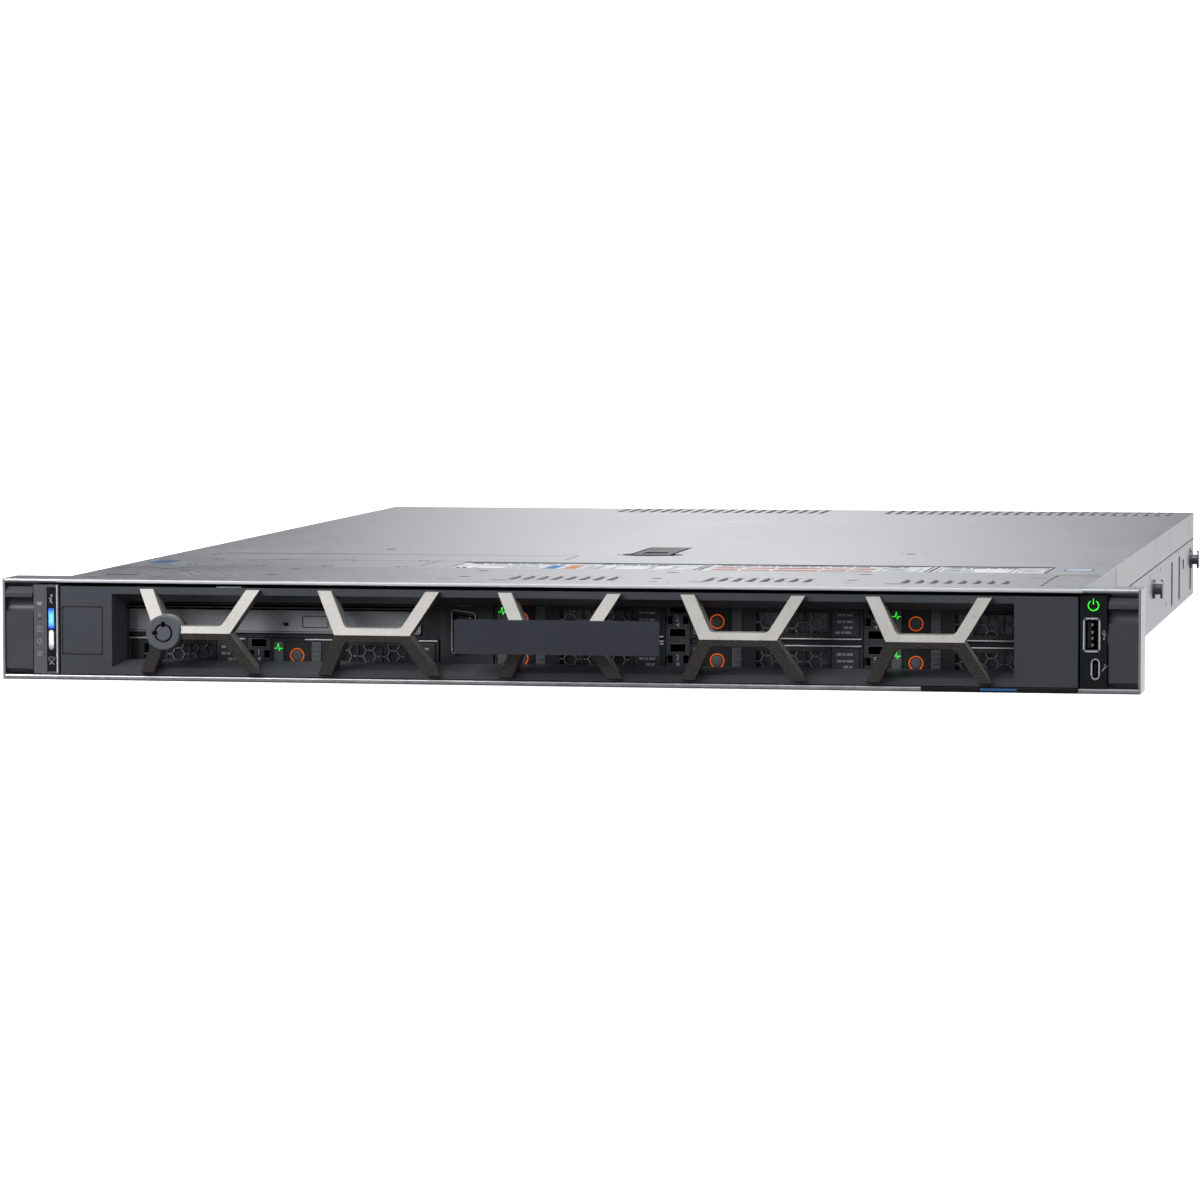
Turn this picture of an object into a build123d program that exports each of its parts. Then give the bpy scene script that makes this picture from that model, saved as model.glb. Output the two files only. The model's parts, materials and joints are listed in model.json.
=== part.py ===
from build123d import *
import math
import os

# One-unit rack server with a locking front bezel.
# X runs to the right as seen from the front, Y to the rear and Z up. The origin lies on the
# plane where the ears meet the rack, on the centre line, at half the height of the case.
# All sizes are in millimetres.

# Case
CASE_W = 434.0
CASE_H = 42.8
CASE_DEPTH = 623.0
FRONT_REACH = 22.0
SHEET = 1.0
SKIRT_H = 13.4
TOP_LIP_H = 1.7
FLOOR_LIP_H = 2.2
LIP_T = 1.6
GAP = 0.3

# Lids
DECK_REAR = 78.0
SKIRT_JOINT = 140.0
LID_GAP = 0.6
DECK_SLOT = (3.2, 28.0)
DECK_SLOT_PITCH = 6.0
DECK_SLOT_Y = 19.0
DECK_SLOT_GROUP_INSET = 25.5
DECK_SLOTS_IN_GROUP = 8
DOT_R = 1.2
DOT_PITCH = (5.1, 6.2)
DOT_ROWS = 6
DOT_FIELD_INSETS = (43.5, 38.7)
DOT_COLUMNS = (9, 10)
REAR_SLOT = (3.0, 38.0)
REAR_SLOT_PITCH = 5.7
REAR_SLOT_INSET = 22.0
REAR_SLOTS_LEFT_INSET = 131.35
REAR_SLOTS_RIGHT_INSET = 10.9
REAR_SLOTS_LEFT_COUNT = 20
REAR_SLOTS_BREAK = 35.25
LABEL_RECESS = 0.4
LABEL_SIDE_INSET = 25.0
LABEL_FRONT_INSET = 4.0
LABEL_SIZE = (263.0, 45.0)

# Cover latch
LATCH_W = 17.2
LATCH_L = 57.0
LATCH_BEHIND_FANS = 17.0
LATCH_WELL_W = 31.0
LATCH_WELL_FRONT = 10.0
LATCH_WELL_DEPTH = 10.0
LATCH_WELL_T = 1.0
LATCH_SIDE_CLEAR = 1.5
LATCH_REAR_CLEAR = 3.0
LATCH_LEVER_T = 2.2
LATCH_PIN_R = 1.6
LATCH_PIN_INSET = 4.0
LATCH_LOCK_R = 4.0

# Ears, slam latches and control panels
EAR_W = 24.0
FLANGE_T = 1.5
RACK_HOLE_R = 3.5
RACK_HOLE_INSET = 8.45
EAR_TAB = 30.0
PANEL_W = 11.1
PANEL_H = 37.7
BEZEL_END_GAP = 0.6
SLAM_W = 12.0
SLAM_TOP = 18.0
SLAM_BOTTOM = -18.4
SLAM_PIVOT = (-16.5, 13.5)
SLAM_PIN_R = 1.2
RUN_CLEAR = 0.05

# Buttons and sockets of the control panels
BAR_BUTTON_W = 3.3
BAR_BUTTON_H = 17.4
BAR_BUTTON_T = 1.0
BAR_OFFSET = 2.2
BUTTON_TRAVEL = 0.5
POWER_BUTTON = (7.6, 7.2)
POWER_BUTTON_T = 3.0
POWER_TRAVEL = 0.8
POWER_Z = 14.8
SLIDE_CLEAR = 0.15
USB_SHELL = (6.1, 13.2)
USB_Z = 2.8
USB_DEPTH = 14.0
USB_WALL = 0.4
USB_TONGUE = (1.8, 10.4)
MICRO_SHELL = (2.9, 8.0)
MICRO_Z = -11.2
MICRO_DEPTH = 6.0
USB_INSET = 4.75
MICRO_INSET = 6.3

# Bezel
BEZEL_GAP_TOP = 3.1
BEZEL_GAP_BOTTOM = 2.5
BEZEL_T = 13.0
BEZEL_LEFT_BLOCK = 22.6
BEZEL_RIGHT_BLOCK = 26.4
BEZEL_RAIL_TOP = 3.0
BEZEL_RAIL_BOTTOM = 3.2
BEZEL_SLOPE_DEPTH = 8.0
BEZEL_SLOPE_TOP = 3.6
BEZEL_SLOPE_BOTTOM = 2.6
BEZEL_SLOPE_LEFT = 4.0
BEZEL_EDGE_R = 0.6
RELEASE_W = 17.0
RELEASE_H = 19.6
RELEASE_T = 2.4
RELEASE_TRAVEL = 1.0
RELEASE_Z = -0.35

# Bezel lattice
WEB_COUNT = 5
WEB_SIDE_INSET = 35.4
WEB_TIP = 13.84
WEB_END_SET = 2.0
WEB_END_INSET = 0.7
WEB_T = 9.0
WEB_ARM_W = 5.8
WEB_END_X = 26.0
WEB_RIDGE_X = 16.1
WEB_BAR_Z = 2.8
WEB_CORNER_R = 3.0
LOCK_OFFSET = 12.6
LOCK_RIM_R = 7.5
LOCK_CORE_R = 6.2
LOCK_CAP_R = 7.4
LOCK_CAP_T = 2.0
LOCK_CAP_EDGE = 0.5
LOCK_LENGTH = 18.0
LOCK_SLOT_R = 3.6
LOCK_SLOT_T = 0.8
BADGE_X = (-42.1, 44.2)
BADGE_HALF_H = 7.1
BADGE_T = 2.4
BADGE_PROUD = 0.4

# Info tag
TAG_W = 64.1
TAG_T = 1.0
TAG_FRONT_H = 2.3
TAG_FRONT_T = 1.4
TAG_DEPTH = 96.0
TAG_Z = -20.1

# Drive bays
BAY_FRONT = -6.0
BAY_GAP = 10.7
CARRIER_H = 14.0
ROW_PITCH = 16.4
UPPER_ROW_Z = 5.4
FIRST_BAY_INSET = 6.0
LAST_BAY_INSET = 8.8
PORT_BLOCK_W = 22.6
PORT_BLOCK_GAP = 0.75
CARRIER_FACE_T = 8.0
CARRIER_RAIL_T = 1.0
CARRIER_RAIL_SHORT = 10.75
DRIVE_SIDE_CLEAR = 0.375
RING_X = 11.3
DRIVE_BUTTON = (10.4, 11.6)
DRIVE_BUTTON_T = 3.0
DRIVE_BUTTON_TRAVEL = 1.0
LIGHT_PLATE_X = (0.8, 5.6)
HATCH_X = (17.2, 22.0)
CAPACITY_X = (59.2, 71.2)
INLAY_MARGIN = 1.0
INLAY_DEPTH = 0.5
NUMBER_WINDOW = (6.5, 3.2)
NUMBER_WINDOW_Z = (-4.9, 5.1)
NUMBER_NOTCH = (2.8, 3.2)
NUMBER_NOTCH_Z = 0.4
WINDOW_X = (32.3, 42.7, 53.0)
WINDOW = (9.4, 8.8)
WINDOW_PLATE_T = 2.0
HEX_ACROSS = 5.5
RIB_W = 0.7
DRIVE_L = 100.45
DRIVE_H = 9.5
CAGE_T = 0.8
CAGE_FLOOR_T = 0.6
CONNECTOR_L = 8.0
BACKPLANE_T = 1.6

# Optical drive
OPTICAL_LEFT_INSET = 20.1
OPTICAL_H = 9.6
OPTICAL_RIGHT_GAP = 8.55
OPTICAL_L = 126.0
OPTICAL_FACE_T = 5.0
OPTICAL_WALL = 1.0
EJECT = (10.6, 4.4)
EJECT_INSET = 45.6
EJECT_T = 2.0
PINHOLE_INSET = 58.4

# Fans
FAN_COUNT = 6
FAN_SIDE_INSET = 26.8
FAN_TOP_CLEAR = 0.4
FAN_L = 38.0
FAN_RIM = 0.9
FAN_TIP_CLEAR = 0.6
FAN_HUB_R = 9.5
FAN_HUB_L = 16.0
FAN_BLADES = 7
FAN_BLADE_T = 1.2
FAN_BLADE_TURN = 38.0
FAN_SIDES = 28
FAN_SHAFT_R = 2.0
FAN_MOUNT_T = 3.0
STRUT_W = 3.0

# System board and what stands on it
STANDOFF_R = 3.2
STANDOFF_SIDE_INSET = 22.0
STANDOFF_EDGE_INSET = 12.0
STANDOFF_MIDDLE_X = 60.0
STANDOFF_REAR_INSET = 30.0
BOARD_T = 1.6
BOARD_LIFT = 3.5
BOARD_SIDE_GAP = 3.0
BOARD_BEHIND_PSU = 8.0
CPU_SIDE_SHIFT = 7.0
SOCKET = (76.0, 54.0, 6.0)
SINK = (78.0, 108.0)
SINK_BASE_T = 4.0
SINK_TOP = 17.0
FIN_T = 0.6
FIN_COUNT = 18
DIMM_PITCH = 9.4
DIMM_FIRST = 45.0
DUCT_HALF_W = 28.0
DIMM_L = 133.35
DIMM_H = 31.25
DIMM_T = 1.3
DIMM_SOCKET_W = 6.5
DIMM_SOCKET_H = 6.0
DIMM_SOCKET_END = 4.325
DIMM_SEAT = 2.0
SHROUD_T = 1.0
SHROUD_TOP = 20.0
SHROUD_ENDS = (6.0, 9.0)
SHROUD_SIDE_CLEAR = 8.55
SHROUD_NOTCH_CLEAR = 20.0

# Power supplies
PSU_W = 86.0
PSU_BOTTOM_CLEAR = 0.2
PSU_TOP_CLEAR = 1.0
PSU_L = 186.0
PSU_PROUD = 1.5
PSU_SIDE_GAP = 0.8
PSU_GAP = 2.0
PSU_WALL = 1.4
PSU_HANDLE_REACH = 33.0
PSU_HANDLE_W = 8.0
PSU_HANDLE_BAR = 4.0
PSU_HANDLE_X = 23.5
PSU_FAN_X = 23.0
PSU_INLET = (27.6, 20.0)
PSU_INLET_X = 54.0
PSU_INLET_DEPTH = 17.0
PSU_BLADE = (2.0, 4.0, 11.5)
PSU_LATCH_X = 78.0
PSU_LATCH = (6.0, 26.0, 14.0)
PSU_LATCH_TRAVEL = 1.5

# Rear sockets and blanks
JACK = (16.0, 13.4, 18.0)
JACK_OPENING = (11.8, 8.2, 12.0)
USB_REAR = (15.0, 7.2, 14.0)
DSUB = (31.0, 12.5, 12.0)
DSUB_FACE = (18.0, 9.0)
PORT_PROUD = 0.8
SOCKET_START = 6.0
SOCKET_GAP = 4.0
SOCKET_PLATE_RIM = 2.0
BLANK = (86.0, 14.6)
BLANK_T = 0.8
BLANK_Z = 11.2
BLANK_START = 44.5
BLANK_PITCH = 89.0
REAR_VENT = (4.4, 22.0)
REAR_VENT_PITCH = 8.0

# Side studs and slots
STUD_FRONT = 60.0
STUD_REAR_INSET = 25.0
STUD_MIDDLE_SHIFT = 21.0
STUD_SIDES = 20
STUD_Z = -2.0
STUD_HEAD_R = 4.6
STUD_NECK_R = 2.6
STUD_NECK_L = 2.6
STUD_FLANGE_T = 1.0
SIDE_SLOTS = ((157.0, -7.0, 22.0), (107.0, -7.0, 22.0), (79.0, -1.6, 4.8), (28.0, -7.0, 22.0))
SIDE_SLOT_W = 2.4

# Cables
CABLE_R = 3.0

# Values worked out from the sizes above
HALF_W = CASE_W / 2
TOP = CASE_H / 2
FLOOR = SHEET - TOP
CEILING = TOP - SHEET
FRONT = -FRONT_REACH
SKIRT_BOTTOM = TOP - SKIRT_H
WALL_TOP = CEILING - GAP
UPPER_WALL_X = HALF_W - SHEET - GAP
EAR_X = HALF_W + EAR_W
LOWER_ROW_Z = UPPER_ROW_Z - ROW_PITCH
CARRIER_W = (CASE_W - FIRST_BAY_INSET - LAST_BAY_INSET - 3 * BAY_GAP - PORT_BLOCK_W - 2 * PORT_BLOCK_GAP) / 5
BAY_PITCH = CARRIER_W + BAY_GAP
COLUMN_A = FIRST_BAY_INSET - HALF_W
COLUMN_B = COLUMN_A + BAY_PITCH
PORT_BLOCK_X = COLUMN_B + CARRIER_W + PORT_BLOCK_GAP
COLUMN_C = PORT_BLOCK_X + PORT_BLOCK_W + PORT_BLOCK_GAP
COLUMN_D = COLUMN_C + BAY_PITCH
COLUMN_E = COLUMN_D + BAY_PITCH
BAYS = (
    (COLUMN_A, LOWER_ROW_Z), (COLUMN_B, LOWER_ROW_Z),
    (COLUMN_C, UPPER_ROW_Z), (COLUMN_C, LOWER_ROW_Z),
    (COLUMN_D, UPPER_ROW_Z), (COLUMN_D, LOWER_ROW_Z),
    (COLUMN_E, UPPER_ROW_Z), (COLUMN_E, LOWER_ROW_Z),
)
CAGE_LEFT = COLUMN_A - GAP - CAGE_T
CAGE_RIGHT = COLUMN_E + CARRIER_W + GAP + CAGE_T
CAGE_TOP = UPPER_ROW_Z + CARRIER_H / 2 + GAP + CAGE_T
CAGE_BOTTOM = LOWER_ROW_Z - CARRIER_H / 2 - GAP - CAGE_FLOOR_T
CAGE_FRONT = BAY_FRONT + 1.0
SHELF = (LOWER_ROW_Z + CARRIER_H / 2 + GAP, UPPER_ROW_Z - CARRIER_H / 2 - GAP)
OPTICAL_BOTTOM = SHELF[1] + GAP
OPTICAL_RIGHT = PORT_BLOCK_X - OPTICAL_RIGHT_GAP
OPTICAL_LEFT = COLUMN_A + OPTICAL_LEFT_INSET
OPTICAL_REAR = BAY_FRONT + OPTICAL_L
EJECT_X = OPTICAL_RIGHT - EJECT_INSET
PINHOLE_X = OPTICAL_RIGHT - PINHOLE_INSET
DRIVE_W = CARRIER_W - 2 * (CARRIER_RAIL_T + DRIVE_SIDE_CLEAR)
DRIVE_FRONT = BAY_FRONT + CARRIER_FACE_T + GAP
DRIVE_REAR = DRIVE_FRONT + DRIVE_L
CARRIER_RAIL_END = DRIVE_REAR - CARRIER_RAIL_SHORT
BACKPLANE_Y = DRIVE_REAR + GAP + CONNECTOR_L
BACKPLANE_REAR = BACKPLANE_Y + BACKPLANE_T
DECK_SLOT_GROUPS = tuple(x + DECK_SLOT_GROUP_INSET for x in (COLUMN_C, COLUMN_D, COLUMN_E))
DOT_FIELDS = tuple(x + inset for x, inset in zip((COLUMN_A, COLUMN_B), DOT_FIELD_INSETS))
BEZEL_TOP = TOP - BEZEL_GAP_TOP
BEZEL_BOTTOM = BEZEL_GAP_BOTTOM - TOP
BEZEL_HALF_W = HALF_W - 1.4
BEZEL_BACK = FRONT + BEZEL_T
PANEL_X = BEZEL_HALF_W + BEZEL_END_GAP
SLAM_X = PANEL_X + PANEL_W + 0.5
PORT_X = PANEL_X + USB_INSET
MICRO_X = PANEL_X + MICRO_INSET
OPENING_X = (BEZEL_LEFT_BLOCK - BEZEL_HALF_W, BEZEL_HALF_W - BEZEL_RIGHT_BLOCK)
OPENING_Z = (BEZEL_BOTTOM + BEZEL_RAIL_BOTTOM, BEZEL_TOP - BEZEL_RAIL_TOP)
WEB_PITCH = 2 * (BEZEL_HALF_W - WEB_SIDE_INSET - WEB_END_X) / (WEB_COUNT - 1)
WEB_END_Z = BEZEL_TOP - WEB_END_INSET
LOCK_X = -WEB_PITCH * (WEB_COUNT - 1) / 2 - LOCK_OFFSET
RIDGE_Y = FRONT - WEB_TIP
TAG_X = BEZEL_HALF_W - TAG_W - GAP
BOARD_Z = FLOOR + BOARD_LIFT
BOARD_TOP = BOARD_Z + BOARD_T
CLEAR_H = CEILING - FLOOR
PSU_H = CLEAR_H - PSU_BOTTOM_CLEAR - PSU_TOP_CLEAR
PSU_X = tuple(SHEET + PSU_SIDE_GAP - UPPER_WALL_X + n * (PSU_W + PSU_GAP) for n in range(2))
PSU_BACK = CASE_DEPTH + PSU_PROUD
PSU_FRONT = PSU_BACK - PSU_L
PSU_BOTTOM = FLOOR + PSU_BOTTOM_CLEAR
PSU_END_X = PSU_X[1] + PSU_W
FAN_SIZE = CLEAR_H - FAN_TOP_CLEAR
FAN_PITCH = (CASE_W - 2 * FAN_SIDE_INSET - FAN_SIZE) / (FAN_COUNT - 1)
FAN_BORE_R = FAN_SIZE / 2 - FAN_RIM
FAN_BLADE_R = FAN_BORE_R - FAN_TIP_CLEAR
FAN_Z = FLOOR + FAN_SIZE / 2
FAN_X = tuple((n - (FAN_COUNT - 1) / 2) * FAN_PITCH for n in range(FAN_COUNT))

# The length that the drives, fans, memory and power supplies leave free is shared between the
# gaps before the fans, behind them and behind the memory; the board starts in the second gap.
DIMM_SOCKET_L = DIMM_L + 2 * DIMM_SOCKET_END
FREE_LENGTH = PSU_FRONT - OPTICAL_REAR - FAN_L - DIMM_SOCKET_L
FAN_FRONT = OPTICAL_REAR + 0.13 * FREE_LENGTH
FAN_Y = (FAN_FRONT, FAN_FRONT + FAN_L)
BOARD_FRONT = FAN_Y[1] + 0.10 * FREE_LENGTH
DIMM_FRONT = FAN_Y[1] + 0.47 * FREE_LENGTH
CPU_X = (HALF_W - CPU_SIDE_SHIFT) / 2
CPU_Y = DIMM_FRONT + DIMM_SOCKET_L / 2
DIMM_PER_SIDE = int((CPU_X - DUCT_HALF_W - DIMM_SOCKET_W / 2 - DIMM_FIRST) / DIMM_PITCH) + 1
DIMM_REACH = DIMM_FIRST + (DIMM_PER_SIDE - 1) * DIMM_PITCH + DIMM_SOCKET_W / 2
SHROUD_Y = (DIMM_FRONT - SHROUD_ENDS[0], DIMM_FRONT + DIMM_SOCKET_L + SHROUD_ENDS[1])
SHROUD_HALF_W = CPU_X + DIMM_REACH + SHROUD_SIDE_CLEAR
LATCH_Y = (FAN_Y[1] + LATCH_BEHIND_FANS, FAN_Y[1] + LATCH_BEHIND_FANS + LATCH_L)
LABEL_X = (HALF_W - LABEL_SIDE_INSET - LABEL_SIZE[0], HALF_W - LABEL_SIDE_INSET)
LABEL_Y = (DECK_REAR + LABEL_FRONT_INSET, DECK_REAR + LABEL_FRONT_INSET + LABEL_SIZE[1])
STUD_LAST = CASE_DEPTH - STUD_REAR_INSET
STUD_Y = (STUD_FRONT, (STUD_FRONT + STUD_LAST) / 2 + STUD_MIDDLE_SHIFT, STUD_LAST)
BLANK_X = (PSU_END_X + BLANK_START, PSU_END_X + BLANK_START + BLANK_PITCH)


# Basic shapes

def block(x, y, z):
    """A box from the low to the high value on each axis."""
    middle = [(low + high) / 2 for low, high in (x, y, z)]
    return Pos(*middle) * Box(x[1] - x[0], y[1] - y[0], z[1] - z[0])


def along_x(outline, x):
    """An outline of (y, z) points, run along X."""
    face = Plane.YZ.offset(x[0]) * Polygon(*outline, align=None)
    return extrude(face, amount=x[1] - x[0], dir=(1, 0, 0))


def front_plane(y):
    """The plane across Y whose own axes are X and Z."""
    return Plane(origin=(0, y, 0), x_dir=(1, 0, 0), z_dir=(0, -1, 0))


def along_y(sketch, y):
    """A sketch in X and Z, run along Y."""
    return extrude(front_plane(y[0]) * sketch, amount=y[1] - y[0], dir=(0, 1, 0))


def along_z(sketch, z):
    """A sketch in X and Y, run along Z."""
    return extrude(Plane.XY.offset(z[0]) * sketch, amount=z[1] - z[0], dir=(0, 0, 1))


def rod_x(radius, x, y, z):
    """A round bar along X."""
    return extrude(Plane.YZ.offset(x[0]) * Pos(y, z) * Circle(radius), amount=x[1] - x[0], dir=(1, 0, 0))


def rod_y(radius, x, y, z):
    """A round bar along Y."""
    return along_y(Pos(x, z) * Circle(radius), y)


def rod_z(radius, x, y, z):
    """A round bar along Z."""
    return along_z(Pos(x, y) * Circle(radius), z)


def row(middle, pitch, count):
    """Evenly spaced places about a middle."""
    return [middle + (n - (count - 1) / 2) * pitch for n in range(count)]


def both_sides(shape):
    """A right-hand shape with its mirror image on the left."""
    return shape + mirror(shape, about=Plane.YZ)


def chamfered(width, height, cut):
    """A rectangle with its corners cut off."""
    x, y = width / 2, height / 2
    right = [(x - cut, -y), (x, cut - y), (x, y - cut), (x - cut, y)]
    return Polygon(*right, *[(-px, py) for px, py in reversed(right)], align=None)


# Case

def lip_profile(z0, z1):
    """The rounded front edge of a lid or floor, as a sketch in Y and Z."""
    middle = Pos(FRONT + LIP_T / 2, (z0 + z1) / 2)
    return middle * RectangleRounded(LIP_T, z1 - z0, 0.7)


def front_lip(x, z0, z1):
    return extrude(Plane.YZ.offset(x[0]) * lip_profile(z0, z1), amount=x[1] - x[0], dir=(1, 0, 0))


def tray_walls():
    """Floor and side walls; the upper walls step in to pass inside the lids."""
    right = [
        (HALF_W, -TOP), (HALF_W, SKIRT_BOTTOM), (UPPER_WALL_X, SKIRT_BOTTOM), (UPPER_WALL_X, WALL_TOP),
        (UPPER_WALL_X - SHEET, WALL_TOP), (UPPER_WALL_X - SHEET, SKIRT_BOTTOM - SHEET),
        (HALF_W - SHEET, SKIRT_BOTTOM - SHEET), (HALF_W - SHEET, FLOOR),
    ]
    left = [(-x, z) for x, z in reversed(right)]
    return along_y(Polygon(*right, *left, align=None), (0, CASE_DEPTH))


def rear_wall():
    """The rear panel, open for the power supplies, the sockets and the card blanks."""
    panel = Pos(0, (WALL_TOP + FLOOR) / 2) * Rectangle(2 * (UPPER_WALL_X - SHEET), WALL_TOP - FLOOR)
    psu_bay_x = (PSU_X[0] - GAP, PSU_END_X + GAP)
    psu_bay_z = (FLOOR, PSU_BOTTOM + PSU_H + GAP)
    holes = [Pos(sum(psu_bay_x) / 2, sum(psu_bay_z) / 2)
             * Rectangle(psu_bay_x[1] - psu_bay_x[0], psu_bay_z[1] - psu_bay_z[0])]
    window_x, window_z = socket_window()
    holes.append(Pos(sum(window_x) / 2, sum(window_z) / 2)
                 * Rectangle(window_x[1] - window_x[0], window_z[1] - window_z[0]))
    for x in BLANK_X:
        holes.append(Pos(x, BLANK_Z) * Rectangle(BLANK[0] - 4, BLANK[1] - 3))
    holes += [Pos(x, 0) * Rectangle(*REAR_VENT) for x in rear_vents()]
    for hole in holes:
        panel -= hole
    return along_y(panel, (CASE_DEPTH - SHEET, CASE_DEPTH))


def rear_sockets():
    """Place along X and outer size of each socket on the rear edge of the board."""
    sockets = []
    left = PSU_END_X + SOCKET_START
    for size in (JACK, DSUB, USB_REAR, USB_REAR, JACK, JACK, DSUB):
        sockets.append((left + size[0] / 2, size))
        left += size[0] + SOCKET_GAP
    return sockets


def socket_window():
    """The opening in the rear wall that shows the socket plate, as spans in X and Z."""
    sockets = rear_sockets()
    left = sockets[0][0] - sockets[0][1][0] / 2
    right = sockets[-1][0] + sockets[-1][1][0] / 2
    tallest = max(size[1] for x, size in sockets)
    rim = SOCKET_GAP / 2
    return (left - rim, right + rim), (BOARD_TOP - rim, BOARD_TOP + tallest + rim)


def socket_plate():
    """The plate behind the rear wall with a close hole for each socket."""
    (x0, x1), (z0, z1) = socket_window()
    rim = SOCKET_PLATE_RIM
    plate = Pos((x0 + x1) / 2, (z0 + z1) / 2) * Rectangle(x1 - x0 + 2 * rim, z1 - z0 + 2 * rim)
    for x, size in rear_sockets():
        plate -= Pos(x, BOARD_TOP + size[1] / 2) * Rectangle(size[0] + 2 * GAP, size[1] + 2 * GAP)
    plate -= Pos(0, BOARD_Z - 1) * Rectangle(CASE_W, 2 * (BOARD_T + 1) + 2 * GAP)
    return along_y(plate, (CASE_DEPTH - SHEET - BLANK_T, CASE_DEPTH - SHEET))


def rear_vents():
    """The places of the upright vents between the last socket and the side wall."""
    last_x, last_size = rear_sockets()[-1]
    left = last_x + last_size[0] / 2 + REAR_VENT_PITCH
    count = int((HALF_W - REAR_VENT_PITCH - left) / REAR_VENT_PITCH) + 1
    return [left + n * REAR_VENT_PITCH for n in range(count)]


def chassis_tray():
    tray = tray_walls()
    tray += block((-HALF_W, HALF_W), (FRONT + SHEET, 0), (-TOP, FLOOR))
    tag_end = TAG_X + TAG_W + GAP
    tray -= block((TAG_X - GAP, tag_end), (FRONT, FRONT + TAG_FRONT_T + GAP), (-TOP - 1, FLOOR + 1))
    tray += front_lip((-HALF_W, TAG_X - GAP), -TOP, FLOOR_LIP_H - TOP)
    tray += front_lip((tag_end, HALF_W), -TOP, FLOOR_LIP_H - TOP)
    for x, y in standoff_places():
        tray += along_z(Pos(x, y) * RegularPolygon(STANDOFF_R, 6), (FLOOR, BOARD_Z))
    for inset, z, height in SIDE_SLOTS:
        y = CASE_DEPTH - inset
        for side in (-1, 1):
            x = sorted((side * (HALF_W + 1), side * (HALF_W - SHEET - 0.5)))
            half_w = SIDE_SLOT_W / 2
            tray -= block(x, (y - half_w, y + half_w), (z - height / 2, z + height / 2))
    return tray


def standoff_places():
    """Where the hexagonal standoffs stand under the system board."""
    side = HALF_W - STANDOFF_SIDE_INSET
    rows = (BOARD_FRONT + STANDOFF_EDGE_INSET, PSU_FRONT - BOARD_BEHIND_PSU - STANDOFF_EDGE_INSET)
    places = [(x, y) for x in (-side, -STANDOFF_MIDDLE_X, STANDOFF_MIDDLE_X, side) for y in rows]
    rear = CASE_DEPTH - STANDOFF_REAR_INSET
    return places + [(PSU_END_X + STANDOFF_MIDDLE_X, rear), (side, rear)]


def deck_holes():
    """Slot groups and dot fields of the front deck, as one sketch in X and Y."""
    holes = []
    for middle in DECK_SLOT_GROUPS:
        for x in row(middle, DECK_SLOT_PITCH, DECK_SLOTS_IN_GROUP):
            holes.append(Pos(x, DECK_SLOT_Y) * Rectangle(*DECK_SLOT))
    for middle, count in zip(DOT_FIELDS, DOT_COLUMNS):
        for n, y in enumerate(row(DECK_SLOT_Y + 2, DOT_PITCH[1], DOT_ROWS)):
            shift = DOT_PITCH[0] / 4 * (-1) ** n
            for x in row(middle + shift, DOT_PITCH[0], count):
                holes.append(Pos(x, y) * RegularPolygon(DOT_R, 4))
    return holes


def front_deck():
    plate = Pos(0, (FRONT + SHEET + DECK_REAR) / 2) * Rectangle(CASE_W, DECK_REAR - FRONT - SHEET)
    plate = plate - deck_holes()
    deck = along_z(plate, (CEILING, TOP))
    deck += front_lip((-HALF_W, HALF_W), TOP - TOP_LIP_H, TOP)
    skirt = block((HALF_W - SHEET, HALF_W), (0, SKIRT_JOINT), (SKIRT_BOTTOM + GAP, CEILING))
    return deck + both_sides(skirt)


def latch_opening(wall=0.0):
    """Outline of the opening for the cover latch: an ellipse for the finger, then a slot."""
    finger = Pos(0, LATCH_Y[0]) * Ellipse(LATCH_WELL_W / 2 + wall, LATCH_WELL_FRONT + wall)
    slot_y = (LATCH_Y[0], LATCH_Y[1] + LATCH_REAR_CLEAR + wall)
    width = LATCH_W + 2 * (LATCH_SIDE_CLEAR + wall)
    slot = Pos(0, sum(slot_y) / 2) * Rectangle(width, slot_y[1] - slot_y[0])
    return finger + slot


def rear_slot_places():
    """The cover's rear vents: a row of set length, a break, and a row up to the right side."""
    first = REAR_SLOTS_LEFT_INSET - HALF_W
    places = [first + n * REAR_SLOT_PITCH for n in range(REAR_SLOTS_LEFT_COUNT)]
    second = places[-1] + REAR_SLOTS_BREAK
    count = int((HALF_W - REAR_SLOTS_RIGHT_INSET - second) / REAR_SLOT_PITCH + 0.01) + 1
    return places + [second + n * REAR_SLOT_PITCH for n in range(count)]


def top_cover():
    front = DECK_REAR + LID_GAP
    cover = block((-HALF_W, HALF_W), (front, CASE_DEPTH), (CEILING, TOP))
    skirt_y = (SKIRT_JOINT + LID_GAP, CASE_DEPTH)
    cover += both_sides(block((HALF_W - SHEET, HALF_W), skirt_y, (SKIRT_BOTTOM + GAP, CEILING)))
    cover -= along_z(latch_opening(), (CEILING - 1, TOP + 1))
    cover -= block(LABEL_X, LABEL_Y, (TOP - LABEL_RECESS, TOP + 1))
    slot_y = CASE_DEPTH - REAR_SLOT_INSET
    slots = [Pos(x, slot_y) * Rectangle(*REAR_SLOT) for x in rear_slot_places()]
    cover -= along_z(Sketch() + slots, (CEILING - 1, TOP + 1))
    return cover


# Cover latch

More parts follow.
